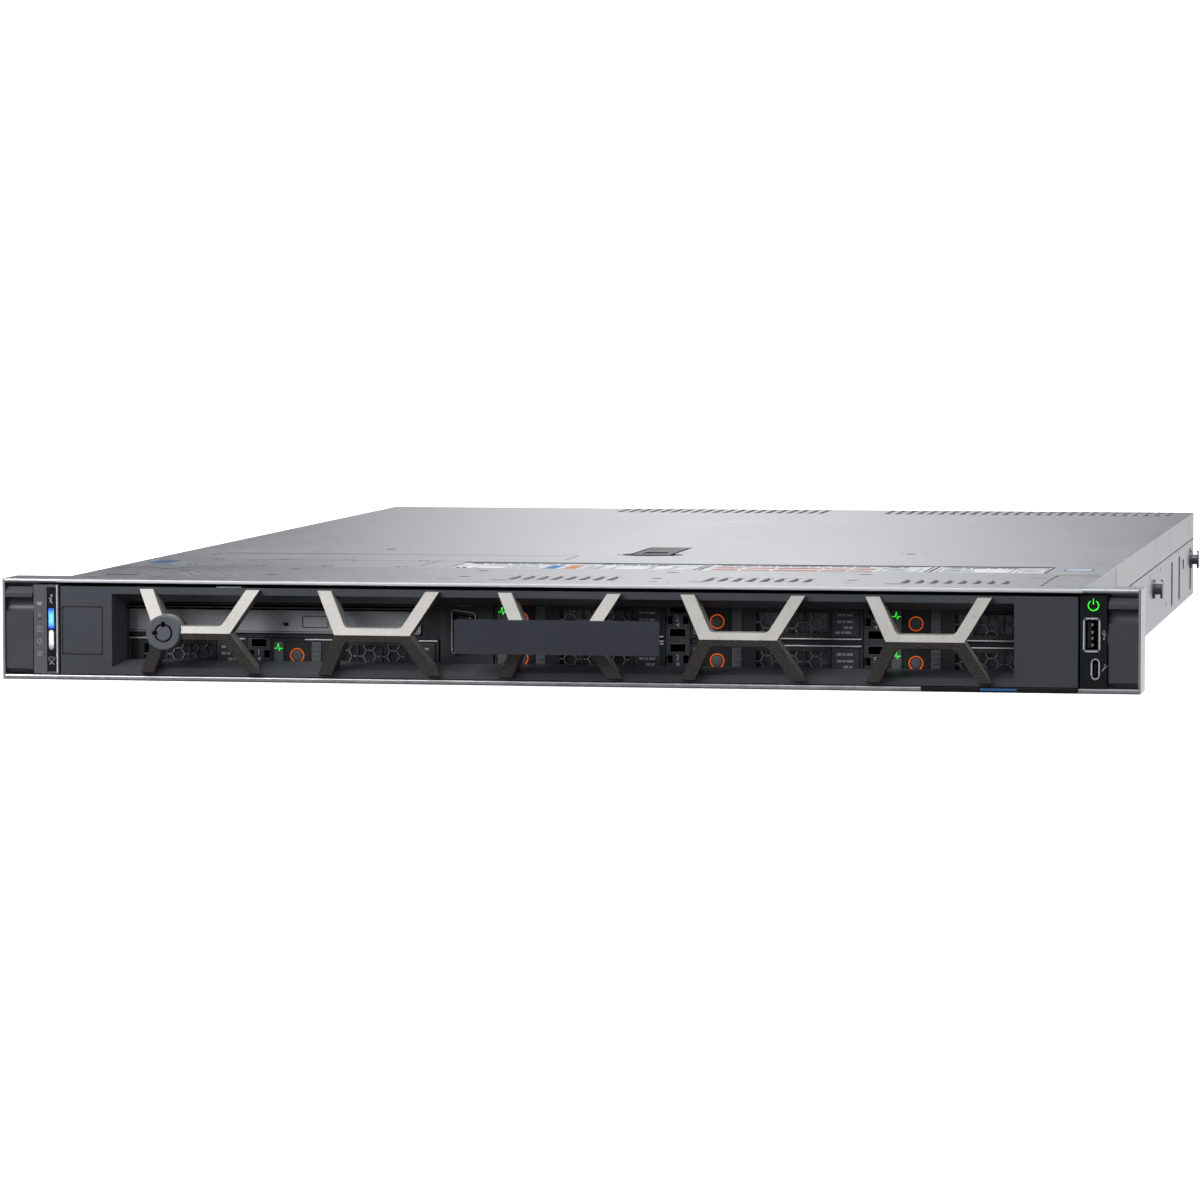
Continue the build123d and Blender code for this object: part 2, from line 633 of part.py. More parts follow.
def latch_well():
    """The moulded cup that hangs under the cover and holds the latch lever."""
    bottom = CEILING - LATCH_WELL_DEPTH
    cup = along_z(latch_opening(LATCH_WELL_T), (bottom, CEILING))
    cup -= along_z(latch_opening(), (bottom + LATCH_WELL_T, CEILING + 1))
    cup -= rod_z(LATCH_LOCK_R + 0.05, 0, LATCH_Y[0] - 3.0, (bottom - 1, CEILING))
    pin_y = LATCH_Y[1] - LATCH_PIN_INSET
    pin_z = CEILING - LATCH_PIN_INSET
    pin_end = LATCH_W / 2 + LATCH_SIDE_CLEAR + LATCH_WELL_T / 2
    cup += rod_x(LATCH_PIN_R, (-pin_end, pin_end), pin_y, pin_z)
    return cup


def latch_lever():
    """The flush lever: a plate with turned-down cheeks that run on the pin."""
    pin_y = LATCH_Y[1] - LATCH_PIN_INSET
    pin_z = CEILING - LATCH_PIN_INSET
    plate = block((-LATCH_W / 2, LATCH_W / 2), LATCH_Y, (TOP - LATCH_LEVER_T, TOP))
    cheek = [
        (pin_y + 4, TOP - LATCH_LEVER_T), (pin_y + 4, pin_z - 2), (pin_y + 2, pin_z - 4),
        (pin_y - 4, pin_z - 4), (LATCH_Y[0] + 12, TOP - LATCH_LEVER_T),
    ]
    lever = plate + both_sides(along_x(cheek, (LATCH_W / 2 - 2.5, LATCH_W / 2)))
    lever -= rod_x(LATCH_PIN_R + RUN_CLEAR, (-LATCH_W, LATCH_W), pin_y, pin_z)
    window = Pos(0, LATCH_Y[0] + 15) * RectangleRounded(LATCH_W - 6, 14, 2)
    lever -= along_z(window, (TOP - 0.8, TOP + 1))
    return fillet(lever.edges().filter_by(Axis.Z).group_by(Axis.Y)[0], 2.0)


def latch_lock():
    """The quarter-turn lock in front of the lever, slotted for a screwdriver."""
    bottom = CEILING - LATCH_WELL_DEPTH
    y = LATCH_Y[0] - 3.0
    lock = rod_z(LATCH_LOCK_R, 0, y, (bottom - 1.0, bottom + 3.0))
    slot = block((-LATCH_LOCK_R - 1, LATCH_LOCK_R + 1), (y - 0.6, y + 0.6), (bottom + 2.0, bottom + 4))
    return lock - slot


# Ears and slam latches

def ear_bracket():
    """The right-hand ear: rack flange, side plate, two lips and a tab inside the case."""
    flange = block((HALF_W - 2 * SHEET, EAR_X), (-FLANGE_T, 0), (-TOP, TOP))
    flange -= rod_y(RACK_HOLE_R, EAR_X - RACK_HOLE_INSET, (-3, 1), 0)
    flange -= block((HALF_W - 3 * SHEET, HALF_W), (-3, 1), (SKIRT_BOTTOM - SHEET, TOP + 1))
    flange -= block((HALF_W - 3 * SHEET, HALF_W), (-3, 1), (-TOP - 1, FLOOR))
    side = block((EAR_X - SHEET, EAR_X), (FRONT, -FLANGE_T), (-TOP, TOP))
    lips_x = (HALF_W, EAR_X - SHEET)
    top_lip = front_lip(lips_x, TOP - TOP_LIP_H, TOP)
    top_lip += block(lips_x, (FRONT + SHEET, -FLANGE_T), (CEILING, TOP))
    floor_lip = front_lip(lips_x, -TOP, FLOOR_LIP_H - TOP)
    floor_lip += block(lips_x, (FRONT + SHEET, -FLANGE_T), (-TOP, FLOOR))
    tab = block((HALF_W - 2 * SHEET, HALF_W - SHEET), (0, EAR_TAB), (FLOOR, SKIRT_BOTTOM - SHEET))
    pin = rod_x(SLAM_PIN_R, (EAR_X - SHEET - 8, EAR_X - SHEET), *SLAM_PIVOT)
    return flange + side + top_lip + floor_lip + tab + pin


def slam_latch():
    """The right-hand spring latch lever, turning on the ear's pin near its top."""
    front = FRONT + 0.8
    back = front + 6.7
    face = Polyline((back, SLAM_TOP), (front + 1.4, SLAM_TOP), (FRONT, 15.2), (FRONT, 13.5))
    scoop = ThreePointArc((FRONT, 13.5), (FRONT + 3.0, 11.0), (front, 7.2))
    rest = Polyline((front, 7.2), (front, SLAM_BOTTOM + 1.6), (front + 1.6, SLAM_BOTTOM), (back - 1, SLAM_BOTTOM),
                    (back, SLAM_BOTTOM + 1), (back, 6.0), (back + 10, 7.0), (back + 12, 9.0), (back + 12, 12.0),
                    (back + 10, 14.0), (back, SLAM_TOP))
    outline = make_face(face + scoop + rest)
    x = SLAM_X
    lever = extrude(Plane.YZ.offset(x) * outline, amount=SLAM_W, dir=(1, 0, 0))
    return lever - rod_x(SLAM_PIN_R + RUN_CLEAR, (x + 3, x + SLAM_W + 1), *SLAM_PIVOT)


# Control panels

def panel_body():
    """A control panel's housing, right-hand, with no openings yet."""
    body = block((PANEL_X, PANEL_X + PANEL_W), (FRONT, -FLANGE_T), (-PANEL_H / 2, PANEL_H / 2))
    return chamfer(body.edges().filter_by(Axis.Z).group_by(Axis.Y)[0], 0.25)


def bar_button(z_sign):
    """One of the two bar-shaped touch buttons of the left panel."""
    x = -(PANEL_X + PANEL_W / 2 - BAR_OFFSET + BAR_BUTTON_W / 2)
    z = z_sign * (BAR_BUTTON_H / 2 + SLIDE_CLEAR)
    shape = Pos(x + BAR_BUTTON_W / 2, z) * RectangleRounded(BAR_BUTTON_W, BAR_BUTTON_H, 0.4)
    return along_y(shape, (FRONT + 0.1, FRONT + 0.1 + BAR_BUTTON_T))


def control_panel_left():
    x = -(PANEL_X + PANEL_W / 2 - BAR_OFFSET)
    pocket = Pos(x, 0) * RectangleRounded(
        BAR_BUTTON_W + 2 * SLIDE_CLEAR, 2 * BAR_BUTTON_H + 4 * SLIDE_CLEAR, 0.5)
    depth = 0.1 + BAR_BUTTON_T + BUTTON_TRAVEL + SLIDE_CLEAR
    return mirror(panel_body(), about=Plane.YZ) - along_y(pocket, (FRONT - 1, FRONT + depth))


def control_panel_right():
    body = panel_body()
    w, h = (size + 2 * SLIDE_CLEAR for size in POWER_BUTTON)
    pocket = Pos(PANEL_X + PANEL_W / 2, POWER_Z) * RectangleRounded(w, h, 1.4)
    depth = POWER_BUTTON_T + POWER_TRAVEL + SLIDE_CLEAR
    body -= along_y(pocket, (FRONT - 1, FRONT + depth))
    body -= along_y(Pos(PORT_X, USB_Z) * Rectangle(*USB_SHELL), (FRONT - 1, FRONT + USB_DEPTH))
    micro = Pos(MICRO_X, MICRO_Z) * RectangleRounded(*MICRO_SHELL, 1.0)
    return body - along_y(micro, (FRONT - 1, FRONT + MICRO_DEPTH))


def power_button():
    shape = Pos(PANEL_X + PANEL_W / 2, POWER_Z) * RectangleRounded(*POWER_BUTTON, 1.2)
    return along_y(shape, (FRONT, FRONT + POWER_BUTTON_T))


def front_ports():
    """The metal shells and tongues of the two sockets in the right panel."""
    w, h = USB_SHELL
    shell = Rectangle(w, h) - Rectangle(w - 2 * USB_WALL, h - 2 * USB_WALL)
    usb = along_y(Pos(PORT_X, USB_Z) * shell, (FRONT, FRONT + USB_DEPTH))
    usb += along_y(Pos(PORT_X, USB_Z) * Rectangle(w, h), (FRONT + USB_DEPTH - 1, FRONT + USB_DEPTH))
    usb += along_y(Pos(PORT_X - 0.9, USB_Z) * Rectangle(*USB_TONGUE), (FRONT + 1, FRONT + USB_DEPTH))
    w, h = MICRO_SHELL
    shell = RectangleRounded(w, h, 1.0) - RectangleRounded(w - 0.6, h - 0.6, 0.7)
    micro = along_y(Pos(MICRO_X, MICRO_Z) * shell, (FRONT, FRONT + MICRO_DEPTH))
    micro += along_y(Pos(MICRO_X, MICRO_Z) * Rectangle(0.6, 4.6), (FRONT + 1, FRONT + MICRO_DEPTH))
    micro += along_y(Pos(MICRO_X, MICRO_Z) * RectangleRounded(w, h, 1.0),
                     (FRONT + MICRO_DEPTH - 1, FRONT + MICRO_DEPTH))
    return [usb, micro]


# Bezel

def bezel_opening():
    """The window through the bezel: a tapered mouth and a straight run behind it."""
    x0, x1 = OPENING_X
    z0, z1 = OPENING_Z
    inner_x = (x0 + BEZEL_SLOPE_LEFT, x1)
    inner_z = (z0 + BEZEL_SLOPE_BOTTOM, z1 - BEZEL_SLOPE_TOP)
    slope_end = FRONT + BEZEL_SLOPE_DEPTH
    mouth = Pos((x0 + x1) / 2, (z0 + z1) / 2) * Rectangle(x1 - x0, z1 - z0)
    throat = Pos(sum(inner_x) / 2, sum(inner_z) / 2) * Rectangle(
        inner_x[1] - inner_x[0], inner_z[1] - inner_z[0])
    taper = loft([front_plane(FRONT) * mouth, front_plane(slope_end) * throat])
    return taper + along_y(throat, (slope_end, BEZEL_BACK + 1)) + along_y(mouth, (FRONT - 1, FRONT))


def release_outline(clear=0.0):
    middle_x = BEZEL_LEFT_BLOCK / 2 - BEZEL_HALF_W - 1.6
    return Pos(middle_x, RELEASE_Z) * RectangleRounded(RELEASE_W + 2 * clear, RELEASE_H + 2 * clear, 0.8)


def bezel_frame():
    shape = block((-BEZEL_HALF_W, BEZEL_HALF_W), (FRONT, BEZEL_BACK), (BEZEL_BOTTOM, BEZEL_TOP))
    shape = fillet(shape.edges().filter_by(Axis.Z).group_by(Axis.Y)[0], BEZEL_EDGE_R)
    shape -= bezel_opening()
    pocket = release_outline(SLIDE_CLEAR)
    return shape - along_y(pocket, (FRONT - 1, FRONT + RELEASE_T + RELEASE_TRAVEL + SLIDE_CLEAR))


def bezel_release():
    return along_y(release_outline(), (FRONT, FRONT + RELEASE_T))


def web_outline():
    """One X of the lattice seen from the front, with rounded inner corners."""
    lean = (WEB_END_X - WEB_RIDGE_X) / WEB_END_Z
    inner_end = WEB_END_X - WEB_ARM_W
    inner_x = inner_end - lean * (WEB_END_Z - WEB_BAR_Z)
    quarter = [(WEB_END_X, WEB_END_Z), (inner_end, WEB_END_Z), (inner_x, WEB_BAR_Z)]
    top = quarter + [(-x, z) for x, z in reversed(quarter)]
    bottom = [(-x, -z) for x, z in top]
    outline = Polygon(*top, (-WEB_RIDGE_X, 0), *bottom, (WEB_RIDGE_X, 0), align=None)
    inner = [v for v in outline.vertices() if abs(abs(v.Y) - WEB_BAR_Z) < 0.01]
    return fillet(inner, WEB_CORNER_R)


def web_ridge():
    """The lattice's section: two faces that meet in a ridge at mid-height."""
    end_y = FRONT - WEB_END_SET
    front = [(end_y, WEB_END_Z), (RIDGE_Y, 0), (end_y, -WEB_END_Z)]
    back = [(y + WEB_T, z) for y, z in reversed(front)]
    return front + back


def badge_block():
    face = RIDGE_Y - BADGE_PROUD
    return block(BADGE_X, (face, face + BADGE_T), (-BADGE_HALF_H, BADGE_HALF_H))


def bezel_web():
    """The five X-shaped castings, seated on the rails, with the boss for the lock."""
    frame = block((-BEZEL_HALF_W, BEZEL_HALF_W), (FRONT, BEZEL_BACK), (BEZEL_BOTTOM, BEZEL_TOP))
    frame -= bezel_opening()
    castings = []
    for x in row(0, WEB_PITCH, WEB_COUNT):
        ridge = along_x(web_ridge(), (x - WEB_END_X, x + WEB_END_X))
        casting = ridge & along_y(Pos(x, 0) * web_outline(), (RIDGE_Y - 1, FRONT + WEB_T))
        if abs(x - LOCK_X) < WEB_END_X:
            casting += rod_y(LOCK_RIM_R, LOCK_X, (RIDGE_Y, RIDGE_Y + WEB_T), 0)
            casting -= rod_y(LOCK_CORE_R + RUN_CLEAR, LOCK_X, (RIDGE_Y - 1, FRONT + WEB_T), 0)
            casting -= rod_y(LOCK_CAP_R + GAP, LOCK_X, (RIDGE_Y - 1, RIDGE_Y + LOCK_CAP_T + RUN_CLEAR), 0)
        if BADGE_X[0] < x < BADGE_X[1]:
            casting -= badge_block()
        castings.append(casting - frame)
    return castings


def bezel_badge():
    return fillet(badge_block().edges().filter_by(Axis.Y), 1.0)


def key_lock():
    """The lock's core: a barrel under a wide cap, with a ring slot and two key notches."""
    cap = rod_y(LOCK_CAP_R, LOCK_X, (RIDGE_Y, RIDGE_Y + LOCK_CAP_T), 0)
    cap = chamfer(cap.edges().group_by(Axis.Y)[0], LOCK_CAP_EDGE)
    core = cap + rod_y(LOCK_CORE_R, LOCK_X, (RIDGE_Y + LOCK_CAP_T, RIDGE_Y + LOCK_LENGTH), 0)
    ring = Circle(LOCK_SLOT_R + LOCK_SLOT_T / 2) - Circle(LOCK_SLOT_R - LOCK_SLOT_T / 2)
    ring += Pos(0, LOCK_SLOT_R) * Rectangle(1.6, 2.4)
    ring += Pos(-LOCK_SLOT_R, 0) * Rectangle(2.4, 1.6)
    return core - along_y(Pos(LOCK_X, 0) * ring, (RIDGE_Y - 1, RIDGE_Y + 4))


def info_tag():
    """The pull-out tag: a thin card with a turned front edge."""
    card_end = CAGE_RIGHT - CAGE_T - GAP
    card = block((TAG_X, card_end), (FRONT + TAG_FRONT_T, FRONT + TAG_DEPTH), (TAG_Z, TAG_Z + TAG_T))
    edge = block((TAG_X, TAG_X + TAG_W), (FRONT, FRONT + TAG_FRONT_T), (-TOP, TAG_FRONT_H - TOP))
    return card + fillet(edge.edges().filter_by(Axis.X).group_by(Axis.Y)[0], 0.5)


# Drive bays

def cage_profile():
    """The cage from the front: two rows of bays, the optical bay and the socket bay."""
    width, height = CAGE_RIGHT - CAGE_LEFT, CAGE_TOP - CAGE_BOTTOM
    face = Pos(CAGE_LEFT + width / 2, CAGE_BOTTOM + height / 2) * Rectangle(width, height)
    for x, z in BAYS:
        bay = Rectangle(CARRIER_W + 2 * GAP, CARRIER_H + 2 * GAP)
        face -= Pos(x + CARRIER_W / 2, z) * bay
    upper = (SHELF[1], CAGE_TOP - CAGE_T)
    optical_x = (OPTICAL_LEFT - GAP, OPTICAL_RIGHT + GAP)
    face -= Pos(sum(optical_x) / 2, sum(upper) / 2) * Rectangle(optical_x[1] - optical_x[0], upper[1] - upper[0])
    block_z = (CAGE_BOTTOM + CAGE_FLOOR_T, CAGE_TOP - CAGE_T)
    face -= Pos(PORT_BLOCK_X + PORT_BLOCK_W / 2, sum(block_z) / 2) * Rectangle(
        PORT_BLOCK_W + 2 * SLIDE_CLEAR, block_z[1] - block_z[0])
    for x in (COLUMN_A, COLUMN_C, COLUMN_D):
        gap_x = (x + CARRIER_W + GAP + CAGE_T, x + BAY_PITCH - GAP - CAGE_T)
        for z in (LOWER_ROW_Z, UPPER_ROW_Z):
            if x == COLUMN_A and z == UPPER_ROW_Z:
                continue
            face -= Pos(sum(gap_x) / 2, z) * Rectangle(gap_x[1] - gap_x[0], CARRIER_H + 2 * GAP)
    return face


def drive_cage():
    cage = along_y(cage_profile(), (CAGE_FRONT, BACKPLANE_Y - GAP))
    for x in (CAGE_LEFT, CAGE_RIGHT - CAGE_T):
        cage += block((x, x + CAGE_T), (CAGE_FRONT + 8, BACKPLANE_REAR), (FLOOR, CEILING))
    return cage


def hex_window():
    """The open part of one window: a rectangle less a hexagon and its six spokes."""
    opening = Rectangle(*WINDOW)
    outer_r = HEX_ACROSS / math.sqrt(3)
    inner_r = outer_r - RIB_W / math.cos(math.pi / 6)
    ring = RegularPolygon(outer_r, 6) - RegularPolygon(inner_r, 6)
    spokes = [Rot(0, 0, 60 * n) * Pos(outer_r + 2.4, 0) * Rectangle(5.2, RIB_W) for n in range(6)]
    return opening - (ring + spokes)


def drive_carrier(x, z):
    """A carrier: a moulded front with grilled windows and three sunk places, and two side rails."""
    front_y = (BAY_FRONT, BAY_FRONT + CARRIER_FACE_T)
    z_span = (z - CARRIER_H / 2, z + CARRIER_H / 2)
    face = block((x, x + CARRIER_W), front_y, z_span)
    behind = (x + WINDOW_X[0] - WINDOW[0] / 2, x + WINDOW_X[-1] + WINDOW[0] / 2)
    window_z = (z - WINDOW[1] / 2, z + WINDOW[1] / 2)
    face -= block(behind, (BAY_FRONT + WINDOW_PLATE_T, front_y[1] + 1), window_z)
    for window_x in WINDOW_X:
        face -= along_y(Pos(x + window_x, z) * hex_window(), (BAY_FRONT - 1, BAY_FRONT + WINDOW_PLATE_T))
    w, h = (size + 2 * SLIDE_CLEAR for size in DRIVE_BUTTON)
    pocket = Pos(x + RING_X, z) * chamfered(w, h, 0.9)
    face -= along_y(pocket, (BAY_FRONT - 1, BAY_FRONT + DRIVE_BUTTON_T + DRIVE_BUTTON_TRAVEL + SLIDE_CLEAR))
    inlay_z = (z - CARRIER_H / 2 + INLAY_MARGIN, z + CARRIER_H / 2 - INLAY_MARGIN)
    for inlay_x in (LIGHT_PLATE_X, HATCH_X, CAPACITY_X):
        face -= block((x + inlay_x[0], x + inlay_x[1]), (BAY_FRONT - 1, BAY_FRONT + INLAY_DEPTH), inlay_z)
    rail_z = (z - CARRIER_H / 2, z + CARRIER_H / 2 - 2)
    for rail_x in (x, x + CARRIER_W - CARRIER_RAIL_T):
        face += block((rail_x, rail_x + CARRIER_RAIL_T), (front_y[1], CARRIER_RAIL_END), rail_z)
    return face


def drive_button(x, z):
    shape = Pos(x + RING_X, z) * chamfered(*DRIVE_BUTTON, 0.8)
    return along_y(shape, (BAY_FRONT, BAY_FRONT + DRIVE_BUTTON_T))


def hard_drive(x, z):
    """A 2.5 inch drive with the step of its label side."""
    middle = x + CARRIER_W / 2
    z0 = z - CARRIER_H / 2 + 1
    z1 = z0 + DRIVE_H
    body = block((middle - DRIVE_W / 2, middle + DRIVE_W / 2), (DRIVE_FRONT, DRIVE_REAR), (z0, z1))
    lid = Pos(middle, (DRIVE_FRONT + DRIVE_REAR) / 2) * chamfered(DRIVE_W - 6, DRIVE_L - 14, 5)
    return body - along_z(lid, (z1 - 0.4, z1 + 1))


def bay_number_frames():
    """The strips that fill the gaps between the bay columns, windowed and notched round each number."""
    frames = []
    for column, rows in ((COLUMN_A, 1), (COLUMN_C, 2), (COLUMN_D, 2)):
        x0 = column + CARRIER_W + GAP
        x1 = column + BAY_PITCH - GAP
        z0 = LOWER_ROW_Z - CARRIER_H / 2
        z1 = z0 + CARRIER_H + (rows - 1) * ROW_PITCH
        face = Pos((x0 + x1) / 2, (z0 + z1) / 2) * Rectangle(x1 - x0, z1 - z0)
        for z in (LOWER_ROW_Z, UPPER_ROW_Z)[:rows]:
            for dz in NUMBER_WINDOW_Z:
                face -= Pos((x0 + x1) / 2, z + dz) * Rectangle(*NUMBER_WINDOW)
            for edge_x in (x0, x1):
                notch = Rectangle(2 * NUMBER_NOTCH[0], NUMBER_NOTCH[1])
                face -= Pos(edge_x, z + NUMBER_NOTCH_Z) * notch
        frames.append(along_y(face, (BAY_FRONT, CAGE_FRONT)))
    return frames


def optical_drive():
    """The slim drive: a steel body on its sled, with a moulded front."""
    x = (OPTICAL_LEFT, OPTICAL_RIGHT)
    z = (OPTICAL_BOTTOM, OPTICAL_BOTTOM + OPTICAL_H)
    face_y = (BAY_FRONT, BAY_FRONT + OPTICAL_FACE_T)
    face = along_y(Pos(sum(x) / 2, sum(z) / 2) * RectangleRounded(x[1] - x[0], OPTICAL_H, 1.0), face_y)
    face -= along_y(Pos(PINHOLE_X, sum(z) / 2 - 1) * RectangleRounded(2.5, 1.7, 0.8), (BAY_FRONT - 1, 0))
    pocket = Pos(EJECT_X, sum(z) / 2) * RectangleRounded(EJECT[0] + 0.3, EJECT[1] + 0.3, 0.9)
    face -= along_y(pocket, (BAY_FRONT - 1, BAY_FRONT + EJECT_T + 0.6))
    rear = OPTICAL_REAR
    body = block((x[0] + 1, x[1] - 1), (face_y[1], rear), (z[0], z[1] - 0.6))
    wall = OPTICAL_WALL
    body -= block((x[0] + 1 + wall, x[1] - 1 - wall), (face_y[1] + wall, rear - wall), (z[0] + wall, z[1] - 0.6 - wall))
    body -= block((x[0] + 20, x[0] + 60), (rear - 2 * wall, rear + 1), (z[0] + 2, z[1] - 3))
    return face + body


def eject_button():
    z = OPTICAL_BOTTOM + OPTICAL_H / 2
    shape = Pos(EJECT_X, z) * RectangleRounded(*EJECT, 0.8)
    return along_y(shape, (BAY_FRONT, BAY_FRONT + EJECT_T))


def video_port_front():
    """The socket block between the bays: a tall housing with a D-shaped shell."""
    z0 = LOWER_ROW_Z - CARRIER_H / 2
    z1 = UPPER_ROW_Z + CARRIER_H / 2
    x = (PORT_BLOCK_X, PORT_BLOCK_X + PORT_BLOCK_W)
    body = block(x, (BAY_FRONT, BAY_FRONT + 30), (z0, z1))
    middle = Pos(x[0] + 10.2, z1 - 12.5)
    mouth = [(-4.6, -8.0), (-4.6, 8.0), (4.6, 6.6), (4.6, -6.6)]
    rim = offset(Polygon(*mouth, align=None), amount=0.6)
    body += along_y(middle * rim, (BAY_FRONT - 1.2, BAY_FRONT))
    body -= along_y(middle * Polygon(*mouth, align=None), (BAY_FRONT - 2, BAY_FRONT + 6))
    core = Polygon(*[(x * 0.72, z * 0.86) for x, z in mouth], align=None)
    return body + along_y(middle * core, (BAY_FRONT + 0.6, BAY_FRONT + 6))


def backplane():
    """The board behind the bays, open for air, with one connector for each drive."""
    z = (CAGE_BOTTOM + CAGE_FLOOR_T, CAGE_TOP - CAGE_T)
    x = (CAGE_LEFT + CAGE_T, CAGE_RIGHT - CAGE_T)
    face = Pos(sum(x) / 2, sum(z) / 2) * Rectangle(x[1] - x[0], z[1] - z[0])
    for bay_x, bay_z in BAYS:
        face -= Pos(bay_x + CARRIER_W / 2, bay_z + 2.6) * Rectangle(CARRIER_W - 22, 7.0)
    optical_x = (OPTICAL_LEFT - 1, OPTICAL_RIGHT + 1)
    optical_mouth = Rectangle(optical_x[1] - optical_x[0], 22)
    face -= Pos(sum(optical_x) / 2, UPPER_ROW_Z + 3) * optical_mouth
    board = along_y(face, (BACKPLANE_Y, BACKPLANE_REAR))
    for bay_x, bay_z in BAYS:
        middle = bay_x + CARRIER_W / 2
        connector_z = (bay_z - CARRIER_H / 2 + 1, bay_z - 1.2)
        board += block((middle - 21, middle + 21), (DRIVE_REAR + GAP, BACKPLANE_Y), connector_z)
    return board


# Fans

def fan_housing(x):
    """A square frame with a round bore, and a motor mount on four struts at the rear."""
    square = chamfered(FAN_SIZE, FAN_SIZE, 2.0)
    bore = RegularPolygon(FAN_BORE_R, FAN_SIDES, major_radius=False)
    frame = along_y(Pos(x, FAN_Z) * (square - bore), FAN_Y)
    mount_y = (FAN_Y[1] - FAN_MOUNT_T, FAN_Y[1])
    mount = RegularPolygon(FAN_HUB_R, FAN_SIDES // 2)
    for n in range(4):
        strut = Pos(FAN_BORE_R / 2, 0) * Rectangle(FAN_BORE_R + 1, STRUT_W)
        mount += Rot(0, 0, 45 + 90 * n) * strut
    frame += along_y(Pos(x, FAN_Z) * mount, mount_y)
    return frame + rod_y(FAN_SHAFT_R, x, (mount_y[0] - FAN_HUB_L + 2, mount_y[0]), FAN_Z)


def fan_rotor(x):
    """A hub with slanted blades, each a tapered plate, bored for the shaft."""
    hub_y = (FAN_Y[1] - FAN_MOUNT_T - GAP - FAN_HUB_L, FAN_Y[1] - FAN_MOUNT_T - GAP)
    middle_y = sum(hub_y) / 2
    rotor = along_y(RegularPolygon(FAN_HUB_R, 2 * FAN_BLADES), hub_y)
    root = FAN_HUB_R - 1.5
    half = (FAN_HUB_L - 2) / 2
    tip_z = math.sqrt(FAN_BLADE_R ** 2 - (half * math.sin(math.radians(FAN_BLADE_TURN)) + FAN_BLADE_T) ** 2)
    outline = Polygon((-half, root), (half, root), (half, tip_z), (2 - half, tip_z), (-half, tip_z - 4), align=None)
    blade = extrude(Plane.YZ * outline, amount=FAN_BLADE_T / 2, both=True)
    blade = Pos(0, middle_y, 0) * Rot(0, 0, FAN_BLADE_TURN) * blade
    for n in range(FAN_BLADES):
        rotor += Rot(0, 360 / FAN_BLADES * n, 0) * blade
    rotor -= rod_y(FAN_SHAFT_R + RUN_CLEAR, 0, (hub_y[0] + 2, hub_y[1] + 1), 0)
    return Pos(x, 0, FAN_Z) * rotor


# System board

def system_board():
    """The board, cut back around the power supplies."""
    side = HALF_W - BOARD_SIDE_GAP
    rear = CASE_DEPTH - SHEET - 0.6
    psu_front = PSU_FRONT - BOARD_BEHIND_PSU
    outline = [
        (-side, BOARD_FRONT), (side, BOARD_FRONT), (side, rear), (PSU_END_X + 3, rear),
        (PSU_END_X + 3, psu_front), (-side, psu_front),
    ]
    return along_z(Polygon(*outline, align=None), (BOARD_Z, BOARD_TOP))


def dimm_places():
    """Place along X of each memory slot: four on each side of each processor."""
    places = []
    for cpu_x in (-CPU_X, CPU_X):
        for side in (-1, 1):
            places += [cpu_x + side * (DIMM_FIRST + n * DIMM_PITCH) for n in range(DIMM_PER_SIDE)]
    return places


def board_connectors():
    """Processor sockets with their processors, and the memory sockets."""
    pieces = []
    for x in (-CPU_X, CPU_X):
        w, d, h = SOCKET
        socket = block((x - w / 2, x + w / 2), (CPU_Y - d / 2, CPU_Y + d / 2), (BOARD_TOP, BOARD_TOP + h))
        pieces.append(chamfer(socket.edges().filter_by(Axis.Z), 2.0))
    w, h = DIMM_SOCKET_W, DIMM_SOCKET_H
    for x in dimm_places():
        y = (DIMM_FRONT, DIMM_FRONT + DIMM_SOCKET_L)
        socket = block((x - w / 2, x + w / 2), y, (BOARD_TOP, BOARD_TOP + h))
        slot_w = DIMM_T / 2 + SLIDE_CLEAR
        slot = block((x - slot_w, x + slot_w), (CPU_Y - DIMM_L / 2 - 0.2, CPU_Y + DIMM_L / 2 + 0.2),
                     (BOARD_TOP + DIMM_SEAT, BOARD_TOP + h + 1))
        pieces.append(socket - slot)
    return pieces


def memory_modules():
    modules = []
    seat = BOARD_TOP + DIMM_SEAT
    for x in dimm_places():
        y = (CPU_Y - DIMM_L / 2, CPU_Y + DIMM_L / 2)
        modules.append(block((x - DIMM_T / 2, x + DIMM_T / 2), y, (seat, seat + DIMM_H)))
    return modules


def cpu_heatsinks():
    """Two finned heatsinks, each one comb profile run along the air flow."""
    sinks = []
    base_z = (BOARD_TOP + SOCKET[2], BOARD_TOP + SOCKET[2] + SINK_BASE_T)
    for x in (-CPU_X, CPU_X):
        comb = Pos(x, sum(base_z) / 2) * Rectangle(SINK[0], SINK_BASE_T)
        fin_h = SINK_TOP - base_z[1]
        for fin_x in row(x, (SINK[0] - FIN_T) / (FIN_COUNT - 1), FIN_COUNT):
            comb += Pos(fin_x, base_z[1] + fin_h / 2) * Rectangle(FIN_T, fin_h)
        sinks.append(along_y(comb, (CPU_Y - SINK[1] / 2, CPU_Y + SINK[1] / 2)))
    return sinks


